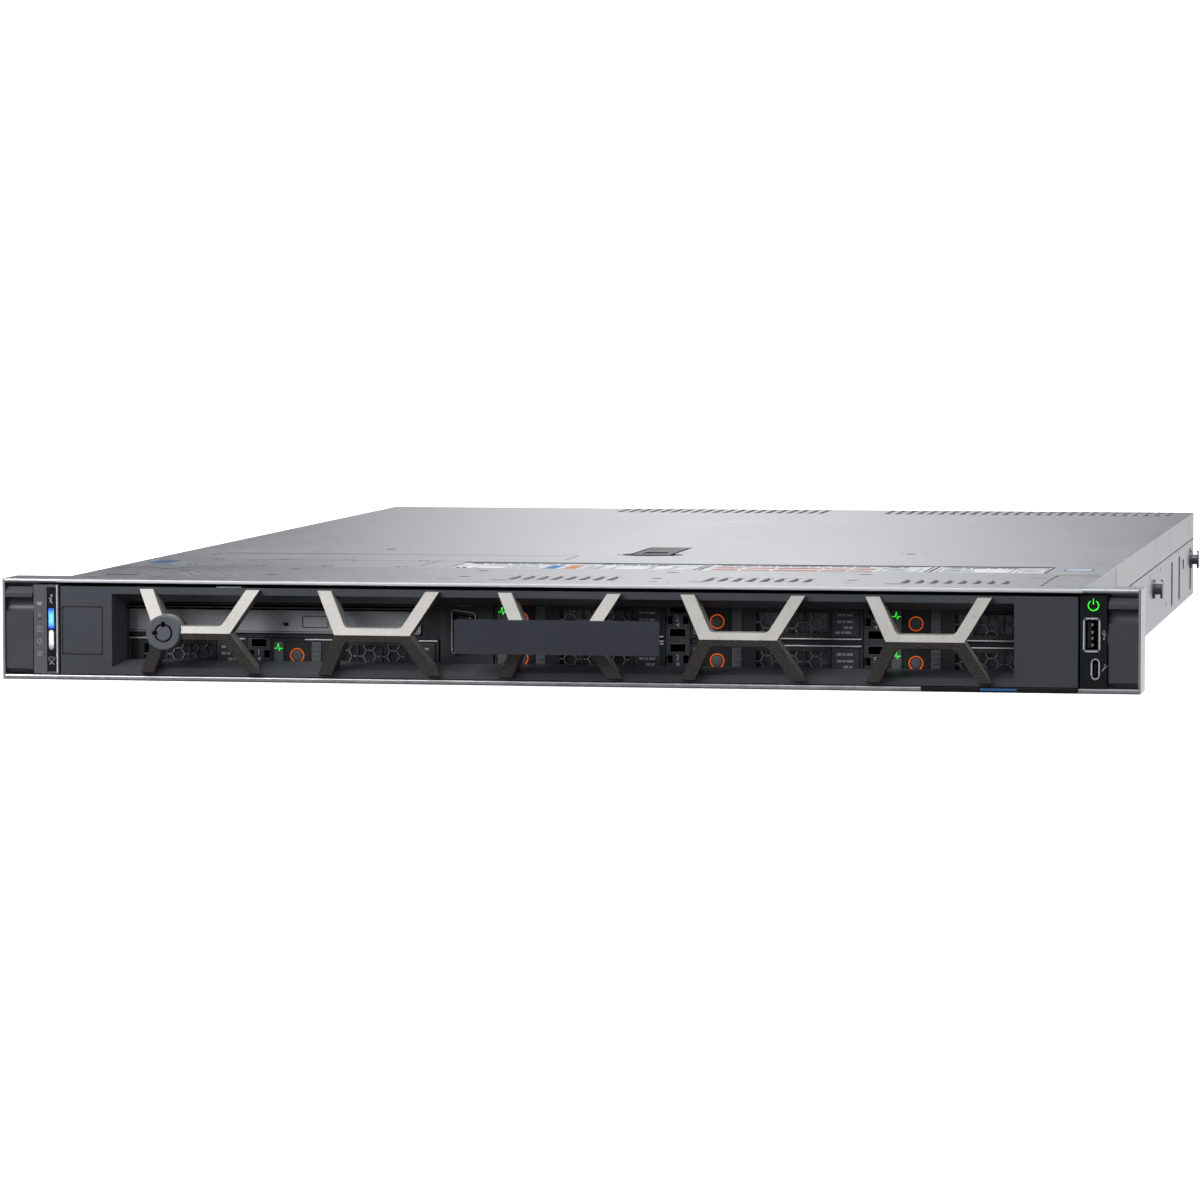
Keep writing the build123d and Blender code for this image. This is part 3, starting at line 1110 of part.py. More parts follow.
def air_shroud():
    """The duct over the processors and the memory, standing on the board."""
    w = SHROUD_HALF_W
    outer = [(-w, BOARD_TOP), (-w, SHROUD_TOP - 6), (-w + 6, SHROUD_TOP),
             (w - 6, SHROUD_TOP), (w, SHROUD_TOP - 6), (w, BOARD_TOP)]
    inner = [(-w + SHROUD_T, BOARD_TOP - 1), (-w + SHROUD_T, SHROUD_TOP - 6.4), (-w + 6.4, SHROUD_TOP - SHROUD_T),
             (w - 6.4, SHROUD_TOP - SHROUD_T), (w - SHROUD_T, SHROUD_TOP - 6.4), (w - SHROUD_T, BOARD_TOP - 1)]
    duct = along_y(Polygon(*outer, align=None), SHROUD_Y)
    duct -= along_y(Polygon(*inner, align=None), (SHROUD_Y[0] - 1, SHROUD_Y[1] + 1))
    notch_y = (SHROUD_Y[0] - 1, max(SHROUD_Y[0], LATCH_Y[1]) + SHROUD_NOTCH_CLEAR)
    half = LATCH_WELL_W / 2 + 4
    return duct - block((-half, half), notch_y, (0, SHROUD_TOP + 1))


# Rear

def socket_box(x, size, opening, depth):
    """A socket shell on the rear edge of the board, with its mouth to the rear."""
    y = (CASE_DEPTH + PORT_PROUD - size[2], CASE_DEPTH + PORT_PROUD)
    z = (BOARD_TOP, BOARD_TOP + size[1])
    shell = block((x - size[0] / 2, x + size[0] / 2), y, z)
    mouth = Pos(x, sum(z) / 2) * opening
    return shell - along_y(mouth, (y[1] - depth, y[1] + 1))


def dsub_mouth(w, h):
    lean = h * 0.17
    return Polygon((-w / 2, h / 2), (w / 2, h / 2), (w / 2 - lean, -h / 2), (lean - w / 2, -h / 2), align=None)


def rear_ports():
    """Network jacks, bus sockets, and the video and serial sockets."""
    ports = []
    for x, size in rear_sockets():
        if size is JACK:
            ports.append(socket_box(x, size, Rectangle(*JACK_OPENING[:2]), JACK_OPENING[2]))
        elif size is USB_REAR:
            shell = socket_box(x, size, Rectangle(13.2, 5.6), 11.0)
            z = BOARD_TOP + size[1] / 2 + 1.0
            y = CASE_DEPTH + PORT_PROUD
            ports.append(shell + block((x - 5.6, x + 5.6), (y - 11.0, y - 1.5), (z - 0.9, z + 0.9)))
        else:
            outer = dsub_mouth(*DSUB_FACE)
            y = CASE_DEPTH + PORT_PROUD
            body = socket_box(x, size, outer, 6.0)
            core = Pos(x, BOARD_TOP + size[1] / 2) * dsub_mouth(DSUB_FACE[0] - 2, DSUB_FACE[1] - 2)
            ports.append(body + along_y(core, (y - 6.0, y - 0.6)))
    return ports


def rear_panel():
    """The rear wall, the socket plate, and two vented plates that close the card openings."""
    panel = [rear_wall(), socket_plate()]
    for x in BLANK_X:
        face = Pos(x, BLANK_Z) * Rectangle(*BLANK)
        for vent_x in row(x, 11.0, 6):
            face -= Pos(vent_x, BLANK_Z) * Rectangle(8.0, 8.0)
        panel.append(along_y(face, (CASE_DEPTH - SHEET - BLANK_T, CASE_DEPTH - SHEET)))
    return panel


# Power supplies

def psu_housing(x):
    """The steel case of a power supply, with its fan opening and its inlet."""
    z = (PSU_BOTTOM, PSU_BOTTOM + PSU_H)
    middle_z = sum(z) / 2
    body = block((x, x + PSU_W), (PSU_FRONT, PSU_BACK), z)
    for radius in (5.0, 10.0, 15.0):
        ring = RegularPolygon(radius + 1.5, 16) - RegularPolygon(radius - 1.5, 16)
        ring -= [Rectangle(40, 2.0), Rectangle(2.0, 40)]
        body -= along_y(Pos(x + PSU_FAN_X, middle_z) * ring, (PSU_BACK - 3, PSU_BACK + 1))
    inlet = Pos(x + PSU_INLET_X, middle_z) * RectangleRounded(*PSU_INLET, 2.0)
    body -= along_y(inlet, (PSU_BACK - PSU_INLET_DEPTH, PSU_BACK + 1))
    blade_y = (PSU_BACK - PSU_INLET_DEPTH, PSU_BACK - PSU_INLET_DEPTH + PSU_BLADE[2])
    for dx, dz in ((-7.0, -2.0), (7.0, -2.0), (0.0, 3.0)):
        blade = Pos(x + PSU_INLET_X + dx, middle_z + dz) * Rectangle(*PSU_BLADE[:2])
        body += along_y(blade, blade_y)
    hollow_y = (PSU_FRONT + PSU_WALL, PSU_BACK - PSU_INLET_DEPTH - PSU_WALL)
    body -= block((x + PSU_WALL, x + PSU_W - PSU_WALL), hollow_y, (z[0] + PSU_WALL, z[1] - PSU_WALL))
    for vent_x in row(x + PSU_W / 2, 9.0, 8):
        vent = Pos(vent_x, middle_z + 4) * Rectangle(5.0, 18.0)
        body -= along_y(vent, (PSU_FRONT - 1, PSU_FRONT + PSU_WALL + 1))
    edge = block((x + 20, x + 66), (PSU_FRONT - 8, PSU_FRONT), (z[0] + 2, z[0] + 3.6))
    return body + edge


def psu_handle(x):
    """The loop handle that stands on the rear face beside the inlet."""
    low = PSU_BOTTOM + 3.0
    high = PSU_BOTTOM + PSU_H - 1.5
    y0 = PSU_BACK - 2.0
    y1 = PSU_BACK + PSU_HANDLE_REACH
    outer = Pos((y0 + y1) / 2, (low + high) / 2) * RectangleRounded(y1 - y0, high - low, 1.8)
    bar = PSU_HANDLE_BAR
    inner = Pos((y0 + y1) / 2, (low + high) / 2) * RectangleRounded(y1 - y0 - 2 * bar, high - low - 2 * bar, 3.0)
    x0 = x + PSU_HANDLE_X - PSU_HANDLE_W / 2
    loop = extrude(Plane.YZ.offset(x0) * (outer - inner), amount=PSU_HANDLE_W, dir=(1, 0, 0))
    return loop - block((x0 - 1, x0 + PSU_HANDLE_W + 1), (y0 - 1, PSU_BACK), (low - 1, high + 1))


def psu_latch(x):
    """The release tab: a ribbed paddle that is squeezed towards the handle."""
    w, h, reach = PSU_LATCH
    middle_z = PSU_BOTTOM + PSU_H / 2
    x0 = x + PSU_LATCH_X - w / 2
    outline = [
        (x0, PSU_BACK + GAP), (x0 + w, PSU_BACK + GAP), (x0 + w, PSU_BACK + 4), (x0 + 3.4, PSU_BACK + 6),
        (x0 + 3.4, PSU_BACK + reach), (x0 + 0.6, PSU_BACK + reach), (x0, PSU_BACK + reach - 2),
    ]
    return along_z(Polygon(*outline, align=None), (middle_z - h / 2, middle_z + h / 2))


# Sides

def rail_studs():
    """The shoulder studs that hook into the slide rails, three on each side."""
    neck_end = STUD_FLANGE_T + STUD_NECK_L
    flange = RegularPolygon(STUD_HEAD_R, STUD_SIDES)
    stud = along_z(flange, (0, STUD_FLANGE_T)) + along_z(flange, (neck_end, neck_end + STUD_FLANGE_T))
    stud += along_z(RegularPolygon(STUD_NECK_R, STUD_SIDES // 2), (STUD_FLANGE_T, neck_end))
    studs = []
    for y in STUD_Y:
        for side in (-1, 1):
            studs.append(Pos(side * HALF_W, y, STUD_Z) * Rot(0, side * 90, 0) * stud)
    return studs


# Cables

def cable(points):
    """A round cable along straight runs joined by arcs as wide as the runs allow."""
    points = [Vector(*p) for p in points]
    radii = []
    for before, corner, after in zip(points, points[1:], points[2:]):
        turn = math.radians((corner - before).get_angle(after - corner))
        shorter = min((corner - before).length, (after - corner).length)
        radii.append(0.45 * shorter / math.tan(turn / 2))
    print("cable arc radii", [round(r, 1) for r in radii])
    path = FilletPolyline(*points, radius=radii)
    section = Plane(origin=path @ 0, z_dir=path % 0) * RegularPolygon(CABLE_R, 8)
    return sweep(section, path=path)


def drive_cables():
    """Two cables from the backplane, between the middle fans, to the board."""
    start_y = BACKPLANE_REAR
    end_z = BOARD_TOP + CABLE_R + 3
    cables = []
    for side in (-1, 1):
        x = side * 6.0
        route = [
            (side * 16.0, start_y, -8.0), (side * 16.0, start_y + 10, -8.0), (side * 7.5, start_y + 23, -7.0),
            (x, start_y + 48, -6.0), (x + side, start_y + 84, end_z + 1), (x, start_y + 124, end_z),
        ]
        cables.append(cable(route))
    return cables


def write(name, shape):
    """Writes one node; a list becomes a group of separate solids."""
    if isinstance(shape, (list, tuple)):
        shape = Compound(children=[s for piece in shape for s in piece.solids()])
    export_step(shape, f"parts/{name}.step")


def main():
    os.makedirs("parts", exist_ok=True)
    nodes = {
        "chassis_tray": chassis_tray(), "front_deck": front_deck(), "top_cover": top_cover(),
        "latch_well": latch_well(), "latch_lever": latch_lever(), "latch_lock": latch_lock(),
        "ear_bracket_right": ear_bracket(), "ear_bracket_left": mirror(ear_bracket(), about=Plane.YZ),
        "slam_latch_right": slam_latch(), "slam_latch_left": mirror(slam_latch(), about=Plane.YZ),
        "control_panel_left": control_panel_left(), "control_panel_right": control_panel_right(),
        "status_button": bar_button(1), "wireless_button": bar_button(-1), "power_button": power_button(),
        "front_ports": front_ports(),
        "bezel_frame": bezel_frame(), "bezel_web": bezel_web(), "bezel_badge": bezel_badge(),
        "bezel_release": bezel_release(), "key_lock": key_lock(), "info_tag": info_tag(),
        "drive_cage": drive_cage(), "bay_number_frames": bay_number_frames(),
        "drive_carriers": [drive_carrier(x, z) for x, z in BAYS],
        "hard_drives": [hard_drive(x, z) for x, z in BAYS],
        "optical_drive": optical_drive(), "eject_button": eject_button(),
        "video_port_front": video_port_front(), "backplane": backplane(),
        "fan_housings": [fan_housing(x) for x in FAN_X],
        "system_board": system_board(), "board_connectors": board_connectors(),
        "memory_modules": memory_modules(), "cpu_heatsinks": cpu_heatsinks(), "air_shroud": air_shroud(),
        "rear_ports": rear_ports(), "rear_panel": rear_panel(), "rail_studs": rail_studs(),
        "drive_cables": drive_cables(),
    }
    for n, (x, z) in enumerate(BAYS):
        nodes[f"drive_button_{n}"] = drive_button(x, z)
    for n, x in enumerate(FAN_X, start=1):
        nodes[f"fan_rotor_{n}"] = fan_rotor(x)
    for n, x in enumerate(PSU_X, start=1):
        nodes[f"psu_{n}_housing"] = psu_housing(x)
        nodes[f"psu_{n}_handle"] = psu_handle(x)
        nodes[f"psu_{n}_latch"] = psu_latch(x)
    for name, shape in nodes.items():
        write(name, shape)


main()
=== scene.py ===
import json
import math

import bmesh
import bpy
from mathutils import Matrix, Vector


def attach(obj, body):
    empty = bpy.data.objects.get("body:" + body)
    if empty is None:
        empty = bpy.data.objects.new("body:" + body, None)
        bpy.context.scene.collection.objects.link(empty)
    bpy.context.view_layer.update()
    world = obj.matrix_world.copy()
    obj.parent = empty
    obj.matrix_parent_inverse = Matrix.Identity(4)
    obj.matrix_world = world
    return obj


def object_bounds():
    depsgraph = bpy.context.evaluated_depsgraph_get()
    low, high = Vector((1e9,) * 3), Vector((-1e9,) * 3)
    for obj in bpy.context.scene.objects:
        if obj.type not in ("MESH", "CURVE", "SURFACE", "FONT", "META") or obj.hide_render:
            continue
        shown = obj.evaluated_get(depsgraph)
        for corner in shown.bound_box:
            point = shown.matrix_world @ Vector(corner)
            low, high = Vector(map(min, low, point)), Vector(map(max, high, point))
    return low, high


# Looks of a one-unit rack server. Lengths in this file are millimetres: X to the right as seen
# from the front, Y to the rear, Z up. Meshes are turned to metres when a piece is finished.
# The stage, its lights and the camera are in metres.

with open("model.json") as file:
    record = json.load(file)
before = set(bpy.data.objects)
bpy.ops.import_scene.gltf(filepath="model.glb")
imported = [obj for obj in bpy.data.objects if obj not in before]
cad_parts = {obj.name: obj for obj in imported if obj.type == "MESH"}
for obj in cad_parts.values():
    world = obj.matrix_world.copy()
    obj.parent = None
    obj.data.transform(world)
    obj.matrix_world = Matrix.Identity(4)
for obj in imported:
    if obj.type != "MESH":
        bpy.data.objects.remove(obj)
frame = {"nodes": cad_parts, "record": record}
cad_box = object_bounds()
MM = 0.001

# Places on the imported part
PANEL_FACE = -22
BAY_FACE = -6
TOP = 21.4
MARK_TOP = TOP + 0.01
SIDE = 217
REAR_WALL = 623
SOCKET_FACE = 623.8
SUPPLY_FACE = 624.5
SUPPLIES = ((1, -213.9), (2, -125.9))
UPPER_ROW = 5.4
LOWER_ROW = -11
CARRIER_W = 72.6
CARRIER_HALF_H = 7
BAYS = ((-211, LOWER_ROW), (-127.7, LOWER_ROW), (-31, UPPER_ROW), (-31, LOWER_ROW),
        (52.3, UPPER_ROW), (52.3, LOWER_ROW), (135.6, UPPER_ROW), (135.6, LOWER_ROW))
NUMBER_STRIPS = ((-133, ((LOWER_ROW, "1"),)), (46.95, ((UPPER_ROW, "2"), (LOWER_ROW, "3"))),
                 (130.25, ((UPPER_ROW, "4"), (LOWER_ROW, "5"))))
LABEL_AREA = ((-71, 192), (82, 127))

# Centres on the front, in X and Z
BAR_X = -219.55
ICON_X = -224.7
POWER_BUTTON = (221.6, 14.9)
USB_SOCKET = (220.95, 2.8)
SERVICE_SOCKET = (222.5, -11.2)
RELEASE_BUTTON = (-205.9, -0.35)
EJECT_BUTTON = (-108.5, 3.2)
VIDEO_SOCKET = (-44.15, -0.1)

# Lines pressed into the lids, each as its spans in X and Y and the width of its soft edge; the sheet's finish
# darkens them as painted shade in their grooves.
COVER_LINES = (((-195, -120), (175.4, 179), 0.6), ((-120, -30.2), (177, 178.6), 0.6),
               ((-30.8, -30), (148, 178.2), 0.3), ((-193, -72), (129.4, 130.8), 0.5),
               ((-85.4, -84.6), (91, 134), 0.3), ((-197.6, -196.8), (159, 178), 0.3),
               ((-208, -194), (78.9, 81.9), 0.4))
DECK_LINES = (((198, 199), (-3.5, 68.4), 0.3), ((198.2, 217), (66.2, 68.6), 0.6),
              ((-217, -190), (58.6, 60.6), 0.6))


# Colours and shader nodes

def paint(red, green, blue):
    """A colour given as it looks on a screen, 0 to 255."""
    parts = [part / 255 for part in (red, green, blue)]
    return (*(part / 12.92 if part <= 0.04045 else ((part + 0.055) / 1.055) ** 2.4 for part in parts), 1)


def shade(tone, factor, lift=0):
    """A darker or lighter version of a colour."""
    return (*(min(1, part * factor + lift) for part in tone[:3]), 1)


def add_node(tree, kind, settings=None, inputs=None, output=0):
    """Adds a node: its settings first, then its inputs, and returns one of its outputs."""
    node = tree.nodes.new(kind)
    for name, setting in (settings or {}).items():
        setattr(node, name, setting)
    for name, given in (inputs or {}).items():
        given = given.socket if isinstance(given, Value) else given
        if isinstance(given, bpy.types.NodeSocket):
            tree.links.new(given, node.inputs[name])
        else:
            node.inputs[name].default_value = given
    return node.outputs[output] if len(node.outputs) else None


class Value:
    """A number that changes over a surface. Arithmetic on it adds Math nodes to its finish."""

    def __init__(self, finish, socket):
        self.finish = finish
        self.socket = socket

    def math(self, operation, first, second=0):
        return self.finish.value("ShaderNodeMath", {"operation": operation}, {0: first, 1: second})

    def __add__(self, other):
        return self.math("ADD", self, other)

    def __radd__(self, other):
        return self.math("ADD", other, self)

    def __sub__(self, other):
        return self.math("SUBTRACT", self, other)

    def __rsub__(self, other):
        return self.math("SUBTRACT", other, self)

    def __mul__(self, other):
        return self.math("MULTIPLY", self, other)

    def __rmul__(self, other):
        return self.math("MULTIPLY", other, self)

    def __truediv__(self, other):
        return self.math("DIVIDE", self, other)

    def size(self):
        """The number without its sign."""
        return self.math("ABSOLUTE", self)

    def fraction(self):
        """What the number has over the whole number below it."""
        return self.math("FRACT", self)

    def most(self, other):
        return self.math("MAXIMUM", self, other)

    def between(self, low, high):
        """0 at low and under, 1 at high and over, with a soft step from one to the other."""
        settings = {"interpolation_type": "SMOOTHSTEP"}
        return self.finish.value("ShaderNodeMapRange", settings,
                                 {"Value": self, "From Min": low, "From Max": high})


class Finish:
    """One material, built node by node, with patterns measured in millimetres."""

    def __init__(self, name):
        self.material = bpy.data.materials.new(name)
        self.material.use_nodes = True
        self.tree = self.material.node_tree
        self.tree.nodes.clear()
        place = self.node("ShaderNodeTexCoord", output="Object")
        self.place = self.node("ShaderNodeVectorMath", {"operation": "SCALE"}, {0: place, "Scale": 1 / MM})

    def node(self, kind, settings=None, inputs=None, output=0):
        return add_node(self.tree, kind, settings, inputs, output)

    def value(self, kind, settings=None, inputs=None, output=0):
        return Value(self, self.node(kind, settings, inputs, output))

    def split(self, vector):
        """X, Y and Z of a vector."""
        outputs = self.node("ShaderNodeSeparateXYZ", None, {0: vector}).node.outputs
        return [Value(self, outputs[n]) for n in range(3)]

    def axes(self):
        """X, Y and Z of the place, in millimetres."""
        return self.split(self.place)

    def facing(self):
        """X, Y and Z of the direction that the surface faces."""
        return self.split(self.node("ShaderNodeTexCoord", output="Normal"))

    def stretched(self, factors):
        """The place, with each axis multiplied by its factor."""
        return self.node("ShaderNodeVectorMath", {"operation": "MULTIPLY"}, {0: self.place, 1: factors})

    def grain(self, size, detail=2, stretch=(1, 1, 1), seed=0):
        """Cloudy noise from 0 to 1 with features of the given size."""
        place = self.stretched(tuple(1 / (size * part) for part in stretch))
        place = self.node("ShaderNodeVectorMath", {"operation": "ADD"}, {0: place, 1: (seed,) * 3})
        return self.value("ShaderNodeTexNoise", None, {"Vector": place, "Scale": 1, "Detail": detail})

    def crystals(self, size):
        """A different value from 0 to 1 on each crystal of a zinc coat."""
        place = self.stretched((1 / size,) * 3)
        colour = self.node("ShaderNodeTexVoronoi", None, {"Vector": place, "Scale": 1}, "Color")
        return self.value("ShaderNodeSeparateColor", None, {0: colour})

    def cells(self, scale, randomness=1):
        """The distance to the nearest of many points, strewn or in rows."""
        inputs = {"Vector": self.place, "Scale": scale, "Randomness": randomness}
        return self.value("ShaderNodeTexVoronoi", {"feature": "F1"}, inputs, "Distance")

    def blend(self, factor, first, second):
        settings = {"data_type": "RGBA", "blend_type": "MIX", "clamp_factor": True}
        return self.node("ShaderNodeMix", settings, {0: factor, 6: first, 7: second}, 2)

    def bump(self, height, strength, depth, under=None):
        """Turns a height from 0 to 1 into a surface relief of the given depth in millimetres."""
        inputs = {"Strength": strength, "Distance": depth * MM, "Height": height}
        if under is not None:
            inputs["Normal"] = under
        return self.node("ShaderNodeBump", None, inputs)

    def skin(self, **sockets):
        """Ends in the main shader, with sockets named by their labels with underscores for spaces."""
        inputs = {name.replace("_", " "): given for name, given in sockets.items()}
        return self.end(self.node("ShaderNodeBsdfPrincipled", None, inputs))

    def end(self, shader):
        self.node("ShaderNodeOutputMaterial", None, {"Surface": shader})
        return self.material


# Finishes

def sheet_steel(name, tone, shine=0.36, lines=(), lip=0):
    """Zinc-coated sheet: fine crystals, a rolled grain along X, handling marks, pressed lines darkened as painted
    shade, and, where lip is given, a painted highlight on faces that look to the front.
    """
    f = Finish(name)
    spangle = f.crystals(2.6)
    rolled = f.grain(0.7, 3, (30, 1, 1))
    haze = f.grain(55, 3, (1, 2, 1), 3)
    speck = f.grain(0.5, 1, seed=7)
    rubbed = f.grain(16, 5, (4, 1, 1), 11).between(0.58, 0.75)
    metal = 0.85
    light = shade(tone, 1.1)
    colour = f.blend(spangle * 0.45 + haze * 0.35 + rolled * 0.2, shade(tone, 0.86), light)
    colour = f.blend(speck.between(0.62, 0.72) * 0.18, colour, light)
    under = f.bump(spangle * 0.3 + rolled * 0.5 + speck * 0.4, 0.2, 0.03)
    if lines:
        x, y, z = f.axes()
        pressed = None
        for (x0, x1), (y0, y1), soft in lines:
            across = (y - (y0 + y1) / 2).size().between((y1 - y0) / 2 + soft, (y1 - y0) / 2)
            along = (x - (x0 + x1) / 2).size().between((x1 - x0) / 2 + soft, (x1 - x0) / 2)
            mark = across * along
            pressed = mark if pressed is None else pressed.most(mark)
        pressed = pressed * z.between(TOP - 0.5, TOP - 0.2)
        # Painted shade: the pressed lines are darkened to a small share of the sheet's tone, standing in for the
        # shade in their grooves.
        colour = f.blend(pressed * 0.85, colour, shade(tone, 0.14))
        under = f.bump(1 - pressed, 0.8, 0.25, under)
    if lip:
        # Painted highlight: faces that look to the front are blended towards a pale grey and made less metallic,
        # in place of the reflection that the lip catches.
        front = f.facing()[1].between(-0.5, -0.9)
        colour = f.blend(front * 0.9, colour, paint(228, 230, 233))
        metal = metal - front * lip
    return f.skin(Base_Color=colour, Metallic=metal, Roughness=shine + (haze - 0.5) * 0.12
                  + (spangle - 0.5) * 0.1 - rubbed * 0.04, Normal=under)


def brushed_steel(name, tone, shine=0.32, along=(60, 1, 1)):
    """Bright strip steel with brush lines and faint finger haze."""
    f = Finish(name)
    brush = f.grain(0.35, 3, along)
    haze = f.grain(24, 3, seed=5)
    colour = f.blend(brush * 0.6 + haze * 0.4, shade(tone, 0.8), tone)
    return f.skin(Base_Color=colour, Metallic=0.92, Roughness=shine + (haze - 0.5) * 0.14
                  + (brush - 0.5) * 0.1, Normal=f.bump(brush, 0.25, 0.02))


def lattice_casting(name):
    """Painted die casting with satin speckle: faces that look up get a lighter warm silver as painted light, and
    faces that look down a darker umber as painted shade.
    """
    f = Finish(name)
    speck = f.grain(0.45, 2)
    cloud = f.grain(18, 3, seed=4)
    pore = f.grain(1.1, 2, seed=9).between(0.66, 0.74)
    # Painted light and shade: the colour goes from the lit silver to the shaded umber as the surface turns to face
    # down.
    under = f.facing()[2].between(0.12, -0.12)
    upper = f.blend(cloud, paint(176, 173, 167), paint(201, 198, 192))
    shaded_tone = f.blend(cloud, paint(96, 91, 84), paint(112, 106, 98))
    colour = f.blend(under, upper, shaded_tone)
    colour = f.blend(speck.between(0.42, 0.75) * 0.28, colour, paint(232, 230, 226))
    colour = f.blend(pore * 0.3, colour, paint(88, 84, 78))
    return f.skin(Base_Color=colour, Metallic=0.55, Roughness=0.44 + (speck - 0.5) * 0.2
                  + (cloud - 0.5) * 0.08, Normal=f.bump(speck + pore * -0.4, 0.3, 0.035))


def moulded_plastic(name, tone, shine, texture, relief, fleck=0.12):
    """Moulded resin: spark-textured skin, cloudy tint, rubbed patches."""
    f = Finish(name)
    skin_grain = f.grain(texture, 2)
    cloud = f.grain(34, 3, seed=2)
    rubbed = f.grain(9, 5, (2.5, 1, 1), 6).between(0.55, 0.75)
    colour = f.blend(cloud, shade(tone, 0.85), shade(tone, 1.25))
    colour = f.blend(skin_grain.between(0.5, 0.8) * fleck, colour, shade(tone, 2.4, 0.01))
    return f.skin(Base_Color=colour, Specular_IOR_Level=0.4, Roughness=shine + (cloud - 0.5) * 0.1
                  + (skin_grain - 0.5) * 0.12 - rubbed * 0.07, Normal=f.bump(skin_grain, 0.45, relief))


def gloss_plastic(name, tone):
    """Polished resin with fine hairline scuffs."""
    f = Finish(name)
    cloud = f.grain(22, 3)
    scuff = f.grain(0.6, 3, (18, 1, 2), 4).between(0.6, 0.72)
    colour = f.blend(cloud * 0.6 + scuff * 0.3, tone, shade(tone, 1.5, 0.003))
    return f.skin(Base_Color=colour, Roughness=0.16 + scuff * 0.15 + (cloud - 0.5) * 0.06,
                  Normal=f.bump(scuff, 0.1, 0.01), Coat_Weight=0.3)


def glow(name, edge, core, strength, centre=None, reach=None):
    """A lit window: a bright core that falls off to a deeper colour, with a moulded diffuser."""
    f = Finish(name)
    diffuser = f.grain(0.8, 2)
    if centre is None:
        heart = diffuser.between(0.3, 0.8)
    else:
        x, _, z = f.axes()
        far = ((x - centre[0]).size() / reach[0]).most((z - centre[1]).size() / reach[1])
        heart = far.between(1, 0.1) * (0.85 + diffuser * 0.3)
    colour = f.blend(heart, edge, core)
    return f.skin(Base_Color=colour, Emission_Color=colour, Emission_Strength=strength,
                  Roughness=0.25 + diffuser * 0.15, Normal=f.bump(diffuser, 0.1, 0.02))


def board_lacquer(name, tone, copper):
    """Solder mask over etched tracks, with vias."""
    f = Finish(name)
    lane = f.grain(6, 1, (1, 9, 1))
    lane_across = f.grain(6, 1, (9, 1, 1), 5)
    tracks = (lane * 22).fraction().between(0.45, 0.55)
    tracks_across = (lane_across * 22).fraction().between(0.45, 0.55)
    zone = f.grain(28, 1, seed=8).between(0.48, 0.52)
    traced = zone * tracks + (1 - zone) * tracks_across
    dust = f.grain(3, 4, seed=12)
    colour = f.blend(traced * 0.7, tone, shade(tone, 1.8))
    colour = f.blend(f.cells(0.22).between(0.16, 0.1), colour, copper)
    return f.skin(Base_Color=colour, Roughness=0.3 + dust * 0.25, Coat_Weight=0.4,
                  Normal=f.bump(traced, 0.4, 0.03))


def module_lacquer(name, tone):
    """Memory board: rows of black chips on the mask and a gilt edge."""
    f = Finish(name)
    _, y, z = f.axes()
    chip = ((y / 11).fraction() - 0.5).size().between(0.4, 0.36)
    chip = chip * (z - 3).size().between(8.4, 8)
    grain = f.grain(1.5, 3)
    colour = f.blend(chip, f.blend(grain, tone, shade(tone, 1.5)), paint(22, 23, 25))
    gilt = z.between(-11.2, -11.6)
    colour = f.blend(gilt, colour, paint(196, 160, 84))
    return f.skin(Base_Color=colour, Metallic=gilt, Roughness=0.34 + grain * 0.2,
                  Normal=f.bump(chip + grain * 0.1, 0.7, 0.4))


def printed_sheet(name, tone, print_tone):
    """A printed label: paper tooth, pale ink lines without words, slightly scuffed."""
    f = Finish(name)
    y = f.axes()[1]
    fibre = f.grain(1.2, 4)
    stripe = ((y / 3.4).fraction() - 0.5).size().between(0.24, 0.2)
    broken = f.grain(3, 1, (2.2, 0.6, 1), 4).between(0.46, 0.5)
    block = f.grain(26, 1, seed=2).between(0.42, 0.46)
    colour = f.blend(fibre, shade(tone, 0.94), tone)
    colour = f.blend(stripe * broken * block * 0.8, colour, print_tone)
    return f.skin(Base_Color=colour, Roughness=0.42 + fibre * 0.2, Normal=f.bump(fibre, 0.15, 0.02))


def plain_metal(name, tone, shine):
    """Plated small parts with a fine uneven lustre."""
    f = Finish(name)
    fine = f.grain(0.8, 3)
    cloud = f.grain(7, 3, seed=3)
    colour = f.blend(fine * 0.5 + cloud * 0.5, shade(tone, 0.78), tone)
    return f.skin(Base_Color=colour, Metallic=0.95, Roughness=shine + (cloud - 0.5) * 0.2,
                  Normal=f.bump(fine, 0.15, 0.02))


def ink(name, tone, shine=0.5):
    """Screen-printed marks with a slightly uneven film."""
    f = Finish(name)
    film = f.grain(0.7, 2)
    colour = f.blend(film, shade(tone, 0.8), tone)
    return f.skin(Base_Color=colour, Roughness=shine + film * 0.15, Normal=f.bump(film, 0.1, 0.01))


def screen_mesh(name):
    """Fine punched screen: rows of round holes in grey sheet."""
    f = Finish(name)
    hole = f.cells(0.8, 0).between(0.42, 0.34)
    fine = f.grain(3, 3)
    sheet = f.blend(fine, paint(104, 107, 111), paint(126, 129, 134))
    colour = f.blend(hole * 0.55, sheet, paint(34, 35, 38))
    return f.skin(Base_Color=colour, Metallic=0.2, Roughness=0.45 + fine * 0.15,
                  Normal=f.bump(1 - hole, 0.5, 0.1))


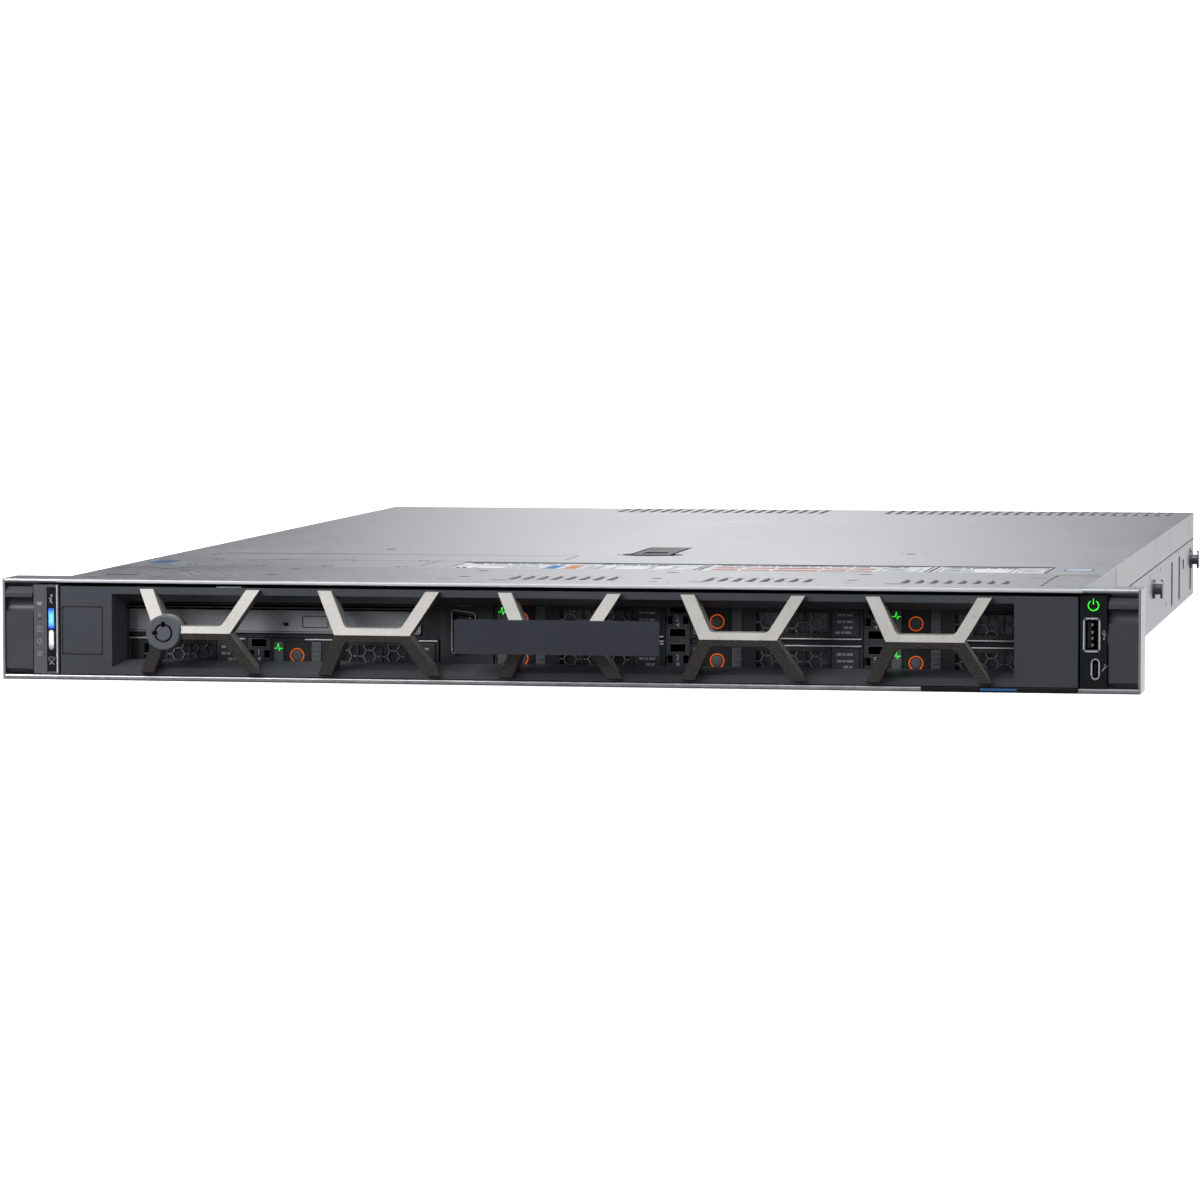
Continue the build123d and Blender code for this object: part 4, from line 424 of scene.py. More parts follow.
def socket_steel(name):
    """The front sockets: plated rims round openings painted near black as painted shade."""
    f = Finish(name)
    x, _, z = f.axes()
    wide = ((x - USB_SOCKET[0]).size().between(2.75, 2.6)
            * (z - USB_SOCKET[1]).size().between(6.3, 6.15))
    narrow = ((x - SERVICE_SOCKET[0]).size().between(1.2, 1.08)
              * (z - SERVICE_SOCKET[1]).size().between(3.7, 3.5))
    opening_shade = wide.most(narrow)
    fine = f.grain(0.8, 3)
    rim = f.blend(fine, paint(168, 170, 174), paint(214, 216, 220))
    # Painted shade: within the openings the colour is near black and not metallic.
    colour = f.blend(opening_shade, rim, paint(14, 14, 16))
    return f.skin(Base_Color=colour, Metallic=1 - opening_shade, Roughness=0.28 + fine * 0.15 + opening_shade * 0.2,
                  Normal=f.bump(fine, 0.1, 0.02))


# Looks by name. Each row of a table holds a colour and then what its finish asks for.
looks = {
    "screen_mesh": screen_mesh("screen_mesh"),
    "socket_steel": socket_steel("socket_steel"),
    "web_metal": lattice_casting("web_metal"),
    "board_green": board_lacquer("board_green", paint(18, 62, 44), paint(176, 132, 70)),
    "memory_green": module_lacquer("memory_green", paint(22, 74, 50)),
    "label_paper": printed_sheet("label_paper", paint(214, 217, 220), paint(96, 100, 106)),
    "light_amber": glow("light_amber", paint(214, 132, 20), paint(255, 190, 60), 0.7),
    "light_green": glow("light_green", paint(34, 214, 44), paint(84, 250, 92), 0.9),
    "ring_orange": glow("ring_orange", paint(226, 92, 22), paint(240, 112, 34), 0.42),
    "light_bar_blue": glow("light_bar_blue", paint(14, 66, 222), paint(120, 214, 255), 0.85,
                           (BAR_X, 4.5), (1.9, 4.6)),
    "light_bar_white": glow("light_bar_white", paint(118, 121, 128), paint(255, 255, 255), 0.5,
                            (BAR_X, -3.6), (1.9, 5.4)),
}
SHEETS = {
    "galvanised": (196, 198, 201), "cover_sheet": (196, 198, 201, 0.36, COVER_LINES),
    "deck_sheet": (184, 186, 190, 0.36, DECK_LINES, 0.75), "cage_sheet": (64, 66, 69, 0.45),
    "psu_metal": (168, 170, 172, 0.5),
}
STRIPS = {"bright_steel": (226, 228, 231), "sink_metal": (198, 200, 203, 0.38, (1, 40, 1))}
PLASTICS = {
    "bezel_plastic": (70, 73, 79, 0.4, 0.7, 0.03), "badge_plastic": (58, 60, 68, 0.34, 0.6, 0.02),
    "key_metal": (96, 99, 106, 0.34, 0.5, 0.02), "latch_plastic": (72, 74, 78, 0.4, 0.9, 0.06),
    "panel_plastic": (60, 62, 66, 0.36, 0.8, 0.03), "panel_grey": (96, 98, 103, 0.38, 0.8, 0.03),
    "strip_plastic": (58, 60, 63, 0.44, 0.7, 0.04), "panel_dark": (24, 25, 28, 0.32, 0.8, 0.02),
    # optical_face is a paler grey than the slim drive's dark grey face: painted light that lifts it out of the
    # shade within the bezel; the eject button shares it.
    "optical_face": (150, 152, 155, 0.5, 0.9, 0.07, 0.2), "button_plastic": (38, 40, 43, 0.4, 0.7, 0.03),
    "lever_plastic": (44, 45, 48, 0.4, 0.8, 0.03), "well_plastic": (24, 25, 27, 0.5, 0.8, 0.03),
    "socket_blue": (34, 72, 156, 0.4, 0.6, 0.02), "carrier_plastic": (44, 45, 48, 0.44, 0.8, 0.04),
    "capacity_plate": (58, 60, 63, 0.42, 0.8, 0.03), "carrier_plate": (92, 95, 99, 0.44, 0.7, 0.04),
    "rib_light": (118, 121, 126, 0.4, 0.6, 0.02), "rib_dark": (52, 54, 58, 0.4, 0.6, 0.03),
    "fan_plastic": (28, 29, 31, 0.45, 1.2, 0.05), "connector_black": (26, 27, 29, 0.4, 1, 0.03),
    "cable_black": (24, 24, 26, 0.5, 1.4, 0.08), "handle_plastic": (34, 35, 37, 0.5, 1, 0.06),
    # The near-black look after release_orange is the black of the sockets' tongues, and elsewhere painted shade in
    # gaps, seams, slots and screw recesses.
    "release_orange": (206, 92, 34, 0.42, 0.9, 0.04), "soot": (12, 12, 14, 0.6, 1, 0.02),
}
GLOSSY = {"tag_plastic": (16, 17, 20), "strip_gloss": (20, 22, 27)}
METALS = {
    "drive_metal": (150, 152, 155, 0.36), "gilt": (214, 178, 98, 0.25), "contact_bead": (238, 232, 214, 0.35),
    "stud_metal": (138, 140, 144, 0.3), "plated": (214, 216, 220, 0.2),
}
INKS = {
    "ink_pale": (176, 180, 186), "ink_faint": (162, 166, 172), "ink_blue": (42, 116, 178),
    "ink_red": (176, 92, 70), "ink_orange": (206, 128, 52), "ink_grey": (104, 108, 114),
    "ink_dark": (36, 38, 42), "ink_white": (232, 234, 236), "ink_touch": (52, 88, 128),
    # The pale, glossy, non-metal silver after ink_teal is a painted highlight: it stands in for the glint of
    # plated rims, edges and lines.
    "ink_sky": (186, 206, 226), "ink_teal": (60, 150, 160), "line_silver": (232, 234, 236, 0.25),
    "dimple_dark": (40, 42, 46),
}
for maker, table in ((sheet_steel, SHEETS), (brushed_steel, STRIPS), (moulded_plastic, PLASTICS),
                     (gloss_plastic, GLOSSY), (plain_metal, METALS), (ink, INKS)):
    for name, (red, green, blue, *rest) in table.items():
        looks[name] = maker(name, paint(red, green, blue), *rest)

# Nodes whose look isn't the one that the record's material slot names
OTHER_LOOKS = {
    "top_cover": "cover_sheet", "front_deck": "deck_sheet", "drive_cage": "cage_sheet",
    "front_ports": "socket_steel", "control_panel_left": "panel_grey", "bay_number_frames": "strip_plastic",
    "video_port_front": "strip_plastic", "control_panel_right": "panel_dark", "power_button": "panel_dark",
    "status_button": "strip_gloss", "wireless_button": "strip_gloss", "optical_drive": "optical_face",
    "info_tag": "tag_plastic", "eject_button": "optical_face", "latch_lever": "lever_plastic",
    "rail_studs": "stud_metal", "latch_well": "well_plastic",
}
for part in frame["record"]["subparts"]:
    name = part["node"]
    if name in frame["nodes"]:
        mesh = frame["nodes"][name].data
        mesh.materials.clear()
        mesh.materials.append(looks[OTHER_LOOKS.get(name, part["material_slot"])])


# Shapes

def about(middle, half):
    """The span that reaches half to both sides of a middle."""
    return (middle - half, middle + half)


def linked(name, data):
    """A new object in the scene."""
    thing = bpy.data.objects.new(name, data)
    bpy.context.scene.collection.objects.link(thing)
    return thing


def meshed(shape, name):
    """Turns a shape into a mesh, from millimetres to metres."""
    bmesh.ops.scale(shape, vec=(MM, MM, MM), verts=shape.verts)
    mesh = bpy.data.meshes.new(name)
    shape.to_mesh(mesh)
    shape.free()
    return mesh


def finished(shape, name, body, look):
    """Turns a shape into a piece that rides on a body."""
    bmesh.ops.recalc_face_normals(shape, faces=shape.faces)
    piece = linked(name, meshed(shape, name))
    piece.data.materials.append(looks[look])
    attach(piece, body)


def plate(shape, x, y, z, edge=0.15, segments=2):
    """A block between the spans x, y and z with rounded edges."""
    made = bmesh.ops.create_cube(shape, size=1)["verts"]
    size = [span[1] - span[0] for span in (x, y, z)]
    bmesh.ops.scale(shape, vec=size, verts=made)
    bmesh.ops.translate(shape, vec=[sum(span) / 2 for span in (x, y, z)], verts=made)
    edges = list({e for v in made for e in v.link_edges})
    bmesh.ops.bevel(shape, geom=edges, offset=min(edge, min(size) * 0.45), offset_type="OFFSET",
                    affect="EDGES", segments=segments, profile=0.5, material=-1)


def turned(shape, profile, centre, axis, steps=24):
    """Spins a closed profile of (radius, height) pairs round an axis through centre."""
    side = Vector((1, 0, 0)) if abs(axis[0]) < 0.5 else Vector((0, 1, 0))
    up = Vector(axis)
    verts = [shape.verts.new(Vector(centre) + side * radius + up * height) for radius, height in profile]
    edges = [shape.edges.new((verts[n - 1], verts[n])) for n in range(len(verts))]
    bmesh.ops.spin(shape, geom=verts + edges, cent=Vector(centre), axis=up, dvec=(0, 0, 0),
                   angle=math.tau, steps=steps, use_merge=True, use_duplicate=False)


def ring(shape, centre, inner, outer, depth, axis=(0, -1, 0), steps=24):
    """A flat ring with a soft outer edge, standing off its centre along the axis."""
    soft = min(depth, outer - inner) * 0.3
    turned(shape, ((inner, 0), (outer, 0), (outer, depth - soft), (outer - soft, depth),
                   (inner + soft, depth), (inner, depth - soft)), centre, axis, steps)


def dome(shape, centre, radius, height, axis=(0, -1, 0), steps=8):
    """A low round head, such as a rivet's or a screw's."""
    turned(shape, ((0, 0), (radius, 0), (radius, height * 0.45), (radius * 0.8, height * 0.85),
                   (radius * 0.4, height), (0, height)), centre, axis, steps)
    bmesh.ops.remove_doubles(shape, verts=shape.verts, dist=0.0005)


def outline(shape, points, low, high, axis=1):
    """A flat shape through the points, thickened from low to high along an axis."""
    verts = [shape.verts.new((*point[:axis], low, *point[axis:])) for point in points]
    raised = bmesh.ops.extrude_face_region(shape, geom=[shape.faces.new(verts)])["geom"]
    move = [0, 0, 0]
    move[axis] = high - low
    bmesh.ops.translate(shape, vec=move, verts=[v for v in raised if isinstance(v, bmesh.types.BMVert)])


def strokes(shape, points, width, low, high):
    """A line of flat bars through the points, on an upright face."""
    for (x0, z0), (x1, z1) in zip(points, points[1:]):
        length = math.hypot(x1 - x0, z1 - z0)
        along = ((x1 - x0) / length, (z1 - z0) / length)
        aside = (-along[1] * width / 2, along[0] * width / 2)
        end = (along[0] * width / 3, along[1] * width / 3)
        outline(shape, ((x0 - end[0] - aside[0], z0 - end[1] - aside[1]),
                        (x1 + end[0] - aside[0], z1 + end[1] - aside[1]),
                        (x1 + end[0] + aside[0], z1 + end[1] + aside[1]),
                        (x0 - end[0] + aside[0], z0 - end[1] + aside[1])), low, high)


def loop(shape, points, width, low, high):
    """A line of flat bars that ends where it starts."""
    strokes(shape, [*points, points[0]], width, low, high)


def arc(centre, radius, start, end, steps=12):
    """Points of an arc from start to end, in degrees from the right, turning left."""
    turn = [math.radians(start + (end - start) * n / steps) for n in range(steps + 1)]
    return [(centre[0] + radius * math.cos(t), centre[1] + radius * math.sin(t)) for t in turn]


def pill(centre, width, height):
    """Corners of an upright slot with round ends."""
    r = width / 2
    rise = height / 2 - r
    return arc((centre[0], centre[1] + rise), r, 0, 180, 6) + arc((centre[0], centre[1] - rise), r, 180, 360, 6)


def soft_box(centre, width, height, r, steps=4):
    """Corners of a rectangle with round corners."""
    points = []
    for sx, sz, start in ((1, 1, 0), (-1, 1, 90), (-1, -1, 180), (1, -1, 270)):
        corner = (centre[0] + sx * (width / 2 - r), centre[1] + sz * (height / 2 - r))
        points += arc(corner, r, start, start + 90, steps)
    return points


def in_row(start, end, widths, gap):
    """Spans of the given widths in a row from start, as many as fit before end."""
    spans = []
    for width in widths:
        if start + width > end:
            break
        spans.append((start, start + width))
        start += width + gap
    return spans


def blocks(name, body, look, spans, edge=0.15, segments=2):
    """A piece made of blocks, each given as its spans in X, Y and Z and, where it differs, its edge."""
    shape = bmesh.new()
    for x, y, z, *own in spans:
        plate(shape, x, y, z, *(own or [edge]), segments)
    finished(shape, name, body, look)


def patches(name, body, look, spots, low, high, edge=0.04):
    """A piece made of thin flat patches, each given as its start and end in X and in Y."""
    blocks(name, body, look, [((x0, x1), (y0, y1), (low, high)) for x0, x1, y0, y1 in spots], edge, 1)


def drawn(name, body, look, spans, width=0.3, paths=(), fills=()):
    """A thin piece on an upright face: filled shapes, and lines along paths."""
    shape = bmesh.new()
    for points in fills:
        outline(shape, points, *spans)
    for points in paths:
        strokes(shape, points, width, *spans)
    finished(shape, name, body, look)


def dimples(name, body, look, spots):
    """Pressed dimples and small holes in the sheet, each given as X, Y, width and depth, drawn as flat dark ovals:
    painted shade in the hollows.
    """
    shape = bmesh.new()
    for x, y, width, depth in spots:
        points = [(x + math.cos(t) * width / 2, y + math.sin(t) * depth / 2)
                  for t in (math.tau * n / 12 for n in range(12))]
        outline(shape, points, TOP - 0.1, MARK_TOP, axis=2)
    finished(shape, name, body, look)


def digits(name, text, size, centre, low, high, body, look, turn=0):
    """Plain numbers standing on an upright face, turned in degrees from one that looks to the front."""
    curve = bpy.data.curves.new(name, "FONT")
    curve.body = text
    curve.size = size
    curve.align_x = "CENTER"
    curve.align_y = "CENTER"
    curve.extrude = (high - low) / 2
    curve.resolution_u = 3
    holder = linked(name + "_line", curve)
    bpy.context.view_layer.update()
    mesh = bpy.data.meshes.new_from_object(holder)
    bpy.data.objects.remove(holder)
    shape = bmesh.new()
    shape.from_mesh(mesh)
    bpy.data.meshes.remove(mesh)
    for angle, axis in ((90, "X"), (turn, "Z")):
        bmesh.ops.rotate(shape, cent=(0, 0, 0), matrix=Matrix.Rotation(math.radians(angle), 3, axis),
                         verts=shape.verts)
    bmesh.ops.translate(shape, vec=(centre[0], (low + high) / 2, centre[1]), verts=shape.verts)
    finished(shape, name, body, look)


# Front

def left_panel():
    """The lit bars of the two buttons, their marks and borders, and a column of plain icons."""
    lit = (PANEL_FACE - 0.12, PANEL_FACE + 0.2)
    blocks("status_light", "status_button", "light_bar_blue", [((-220.75, -218.35), lit, (0.35, 8.9))],
           0.3, 3)
    drawn("wireless_light", "wireless_button", "light_bar_white", lit,
          fills=[pill((BAR_X, -4.5), 2.1, 8.5)])
    printed = (PANEL_FACE - 0.04, PANEL_FACE + 0.12)
    drawn("status_mark", "status_button", "ink_pale", printed, 0.6,
          [((-220.2, 13.1), (-219.5, 13.3), (-219.9, 11.4), (-219.1, 11.3))],
          [arc((-219.35, 14.3), 0.5, 0, 330, 11)])
    waves = [arc((BAR_X, -14.4), radius, 55, 125, 8) for radius in (1.1, 1.9, 2.6)]
    cross = [((x0, -13), (x1, -14.9)) for x0, x1 in ((-220.4, -218.7), (-218.7, -220.4))]
    drawn("wireless_mark", "wireless_button", "ink_pale", printed, 0.36, waves + cross)
    # Painted highlight: a pale strip for the glint along the left panel's edge.
    blocks("left_panel_edge", "chassis", "line_silver",
           [((-217.3, -216.75), (PANEL_FACE - 0.15, PANEL_FACE + 0.3), (-18.6, 18.8))], 0.12)
    proud = (PANEL_FACE - 0.06, PANEL_FACE + 0.2)
    # Painted shade: near-black strips in the gaps round the two buttons and between them.
    blocks("touch_strip_border", "chassis", "soot",
           [((-221.55, -221.25), proud, (-17.9, 17.9)), ((-221.55, -217.5), proud, (17.6, 17.95)),
            ((-221.55, -217.5), proud, (-17.95, -17.6)), ((-217.85, -217.35), proud, (-17.9, 17.9)),
            ((-221.4, -217.6), proud, (-0.15, 0.15), 0.05)], 0.08, 1)
    x = ICON_X
    icons = [arc((x, 4.6), 0.6, 120, 420, 12),
             ((x - 0.3, 5.1), (x - 0.3, 6.8), (x + 0.3, 6.8), (x + 0.3, 5.1)),
             ((x - 1.1, -0.9), (x + 1.1, -0.9), (x + 1.1, 1.3), (x - 1.1, 1.3), (x - 1.1, -0.9)),
             ((x + 0.2, 0.9), (x - 0.4, 0.1), (x + 0.4, 0.3), (x - 0.2, -0.5)),
             ((x, -3.9), (x + 1.2, -5.1), (x, -6.3), (x - 1.2, -5.1), (x, -3.9))]
    icons += [((x - 1, rise), (x + 1, rise)) for rise in (-11.2, -10.4, -9.6)]
    drawn("left_panel_marks", "chassis", "ink_faint", (PANEL_FACE - 0.05, PANEL_FACE + 0.1), 0.3, icons,
          [soft_box((x, 10.9), 2.2, 1.4, 0.4)])


def right_panel():
    """The power sign, rims, contacts and tongues of the sockets, a slot and two plain signs."""
    face = PANEL_FACE
    x, z = POWER_BUTTON
    drawn("power_mark", "power_button", "light_green", (face - 0.1, face + 0.1), 0.36,
          [arc(POWER_BUTTON, 2.1, 125, 415, 28), ((x, z + 0.5), (x, z + 2.8))])
    # Painted highlight: the sockets' rims are drawn in pale, not metallic, silver for their glint.
    shape = bmesh.new()
    loop(shape, soft_box(USB_SOCKET, 6.5, 13.6, 0.7), 0.45, face - 0.25, face + 0.2)
    loop(shape, pill(SERVICE_SOCKET, 3.2, 8.3), 0.42, face - 0.25, face + 0.2)
    finished(shape, "socket_rims", "chassis", "line_silver")
    blocks("socket_contacts", "chassis", "contact_bead",
           [((220.7, 221.6), (face + 0.5, face + 7), about(rise, 0.6)) for rise in (-1.4, 1.3, 3.8, 6.9)],
           0.2, 1)
    blocks("socket_tongues", "chassis", "soot",
           [((219.2, 220.7), (face + 0.7, face + 9), (-2.6, 8.2)),
            ((222.1, 222.9), (face + 0.8, face + 4.5), (-13.6, -8.8))], 0.15, 1)
    proud = (face - 0.03, face + 0.2)
    # Painted shade: near-black strips in the gap round the power button.
    blocks("power_button_border", "chassis", "soot",
           [((217.7, 225.8), proud, span) for span in ((10.9, 11.15), (18.35, 18.6))]
           + [(span, proud, (11, 18.5)) for span in ((217.6, 217.85), (225.6, 225.85))], 0.05, 1)
    # Painted shade: a near-black plate in the panel's slot.
    drawn("panel_slot", "chassis", "soot", (face - 0.03, face + 0.15), fills=[pill((218.8, -12.1), 1.2, 6.3)])
    low, high = face - 0.05, face + 0.1
    shape = bmesh.new()
    x, z = 226, 3
    for path in (((x, z - 1.6), (x, z + 1.4)), ((x, z - 0.8), (x + 0.7, z), (x + 0.7, z + 0.6)),
                 ((x, z - 0.2), (x - 0.7, z + 0.4), (x - 0.7, z + 0.9))):
        strokes(shape, path, 0.26, low, high)
    outline(shape, ((x - 0.4, z + 1.3), (x + 0.4, z + 1.3), (x, z + 2)), low, high)
    outline(shape, arc((x, z - 1.8), 0.4, 0, 330, 11), low, high)
    z = -10.8
    strokes(shape, ((x - 0.7, z - 1.1), (x + 0.5, z + 0.7)), 0.4, low, high)
    strokes(shape, arc((x + 0.8, z + 1.1), 0.6, 100, 350, 8), 0.3, low, high)
    finished(shape, "right_panel_marks", "chassis", "ink_pale")


def carrier_face(number, left, level, pieces):
    """The parts set into one carrier's front: button ring, light plate, hatch, capacity plate, ribs."""
    face = BAY_FACE
    button = f"drive_button_{number}"
    middle = left + 11.3
    shape = bmesh.new()
    ring(shape, (middle, face + 0.05, level), 2.6, 3.1, 0.3)
    finished(shape, f"button_ring_{number}", button, "ring_orange")
    shape = bmesh.new()
    turned(shape, ((0, 0), (2.2, 0), (2.1, 0.12), (1.2, 0.2), (0, 0.22)), (middle, face, level),
           (0, -1, 0))
    bmesh.ops.remove_doubles(shape, verts=shape.verts, dist=0.001)
    finished(shape, f"button_dish_{number}", button, "carrier_plate")
    plates = pieces["carrier_plates"]
    tall = about(level, 5.7)
    plate(plates, (left + 1.1, left + 5.3), (face - 0.1, face + 0.5), tall, 0.2)
    plate(plates, (left + 17.5, left + 21.7), (face - 0.15, face + 0.5), tall, 0.2)
    for step in range(5):
        rise = level - 4.2 + 2.1 * step
        plate(plates, (left + 18.1, left + 21.1), (face - 0.4, face), about(rise, 0.4), 0.15, 1)
    plate(pieces["capacity_plates"], (left + 59.5, left + 70.9), (face - 0.05, face + 0.5), tall, 0.2)
    for rise, start, end in ((3.3, 61.6, 69.2), (0.5, 61.6, 69.2), (-1.9, 64.4, 69.2), (-4, 60.9, 69.2)):
        for span in in_row(left + start, left + end, (2, 1.2, 2.6, 1.6), 0.45):
            plate(pieces["capacity_prints"], span, (face - 0.1, face + 0.05), about(level + rise, 0.5), 0.05, 1)
    x, z = left + 3.2, level + 2.9
    strokes(pieces["drive_lights"], ((x - 1.8, z), (x - 0.6, z), (x - 0.1, z + 1.9), (x + 0.3, z - 0.9),
                                     (x + 0.7, z), (x + 1.8, z)), 0.3, face - 0.2, face)
    way = 1 if level == UPPER_ROW else -1
    edge = level - way * CARRIER_HALF_H
    # Painted highlight: a pale strip for the glint along the carrier's edge next to the other row.
    plate(pieces["carrier_edge_lines"], (left + 17, left + CARRIER_W - 0.6), (face - 0.3, face + 0.3),
          sorted((edge, edge + way * 0.5)), 0.1)
    for middle in (32.3, 42.7, 53):
        grille_ribs(pieces["grille_ribs"], left + middle, level)


def grille_ribs(shape, x, z):
    """The hexagon of a grille window with its six spokes, standing on the moulded ribs."""
    low, high = BAY_FACE - 0.12, BAY_FACE + 0.2
    corners = arc((x, z), 2.85, 0, 360, 6)
    strokes(shape, corners, 0.42, low, high)
    for inner, outer in zip(corners[:6], arc((x, z), 5.1, 0, 360, 6)):
        reach = min(1, 4.2 / max(abs(outer[1] - z), 0.1), 4.6 / max(abs(outer[0] - x), 0.1))
        end = (x + (outer[0] - x) * reach, z + (outer[1] - z) * reach)
        strokes(shape, (inner, end), 0.38, low, high)


def drive_bays():
    finishes = {"carrier_plates": "carrier_plate", "capacity_plates": "capacity_plate",
                "capacity_prints": "ink_faint", "drive_lights": "light_green",
                "carrier_edge_lines": "line_silver", "grille_ribs": "rib_light"}
    pieces = {name: bmesh.new() for name in finishes}
    for number, (left, level) in enumerate(BAYS):
        carrier_face(number, left, level, pieces)
    for name, shape in pieces.items():
        finished(shape, name, "chassis", finishes[name])


def number_strips():
    """Bay numbers, their arrows and the rims of the strips' windows."""
    face = BAY_FACE
    arrows = bmesh.new()
    rims = bmesh.new()
    for middle, rows in NUMBER_STRIPS:
        for level, digit in rows:
            digits(f"bay_number_{digit}", digit, 3.6, (middle - 0.2, level + 1), face - 0.12, face + 0.05,
                   "chassis", "ink_pale")
            z = level - 1.6
            outline(arrows, ((middle - 1, z), (middle + 0.6, z - 0.9), (middle + 0.6, z + 0.9)),
                    face - 0.1, face + 0.05)
            for shift in (-4.9, 5.1):
                z = level + shift
                for rim_z in ((z - 1.9, z - 1.6), (z + 1.6, z + 1.9)):
                    if rim_z[1] < UPPER_ROW + CARRIER_HALF_H:
                        plate(rims, about(middle, 3.5), (face - 0.2, face + 0.1), rim_z, 0.08, 1)
                for rim_x in ((middle - 3.55, middle - 3.25), (middle + 3.25, middle + 3.55)):
                    plate(rims, rim_x, (face - 0.2, face + 0.1), (z - 1.8, z + 1.6), 0.08, 1)
    finished(arrows, "bay_arrows", "chassis", "ink_pale")
    finished(rims, "bay_window_rims", "chassis", "carrier_plate")


def video_port():
    """Pale rim of the D-shaped socket, its pin block's holes and a small screen sign over it."""
    front = -7.2
    x, z = VIDEO_SOCKET
    # Painted highlight: the socket's rim is drawn in pale, not metallic, silver for its glint.
    shape = bmesh.new()
    loop(shape, [(x + px, z + pz) for px, pz in ((-5.1, -8.5), (-5.1, 8.5), (-4.4, 9.2), (4.4, 7.9), (5.1, 7.1),
                                                 (5.1, -7.1), (4.4, -7.9), (-4.4, -9.2))],
         0.35, front - 0.15, front + 0.2)
    finished(shape, "video_rim", "chassis", "line_silver")
    shape = bmesh.new()
    for column in (-2.3, 0, 2.3):
        for row in range(-2, 3):
            dome(shape, (x + column, BAY_FACE + 0.62, z + row * 2.3 + 0.5 * column), 0.45, 0.1)
    finished(shape, "video_pin_holes", "chassis", "gilt")
    shape = bmesh.new()
    low, high = BAY_FACE - 0.08, BAY_FACE + 0.05
    loop(shape, soft_box((x, 11.3), 3.4, 1.3, 0.2, 2), 0.28, low, high)
    for start, end in ((-3.3, -2.2), (2.2, 3.3)):
        for rise in (10.9, 11.6):
            strokes(shape, ((x + start, rise), (x + end, rise)), 0.26, low, high)
    finished(shape, "video_mark", "chassis", "ink_pale")


def bordered(name, body, box, width, face):
    """A near-black outline round a button: painted shade in the gap."""
    shape = bmesh.new()
    loop(shape, box, width, face - 0.04, face + 0.2)
    finished(shape, name, body, "soot")


def optical_details():
    """The slim drive's sunk upper lip, its tray's seam, bright lines under it and the button's gap."""
    face = BAY_FACE
    long = (-191, -63)
    blocks("bay_lip", "chassis", "carrier_plate",
           [(long, (face - 0.05, face + 3), (8.75, 9.35)), (long, (face + 1, face + 4), (10.2, 10.7))],
           0.1, 1)
    # Painted shade: a near-black strip along the tray's seam under the slim drive.
    blocks("tray_seam", "chassis", "soot", [((-190.6, -63.2), (face - 0.08, face + 0.1), (-1.05, -0.8))],
           0.06, 1)
    # Painted highlight: pale strips for the glint along the carriers' edges under the slim drive.
    blocks("carrier_front_lines", "chassis", "line_silver",
           [((-209.5, -176), (face - 0.25, face + 0.2), (-4.6, -4)),
            ((-113, -99), (face - 0.2, face + 0.2), (-4.5, -4))], 0.12, 1)
    bordered("eject_border", "chassis", soft_box(EJECT_BUTTON, 11, 4.8, 0.4, 2), 0.32, face)


def bezel_details():
    """The gap round the release button, the bright catch over the frame, the tag's stripe and the badge's tabs."""
    face = PANEL_FACE
    bordered("release_border", "bezel", soft_box(RELEASE_BUTTON, 17.5, 20.1, 0.6, 2), 0.42, face)
    blocks("bezel_catch", "bezel", "rib_light",
           [((-147.5, -136.6), (face + 0.3, face + 4), (18.25, 18.75), 0.15),
            ((-147, -136.8), (-9.6, -8.9), (12.5, 13), 0.12)])
    blocks("tag_stripe", "info_tag", "ink_blue",
           [((175.3, 190.4), (face - 0.1, face + 0.4), (-20.65, -19.75))], 0.1)
    blocks("badge_tabs", "bezel", "web_metal",
           [((44.1, 46), (-36, -35), about(rise, 0.3)) for rise in (-1, 0.9)], 0.1)


# Top of the case

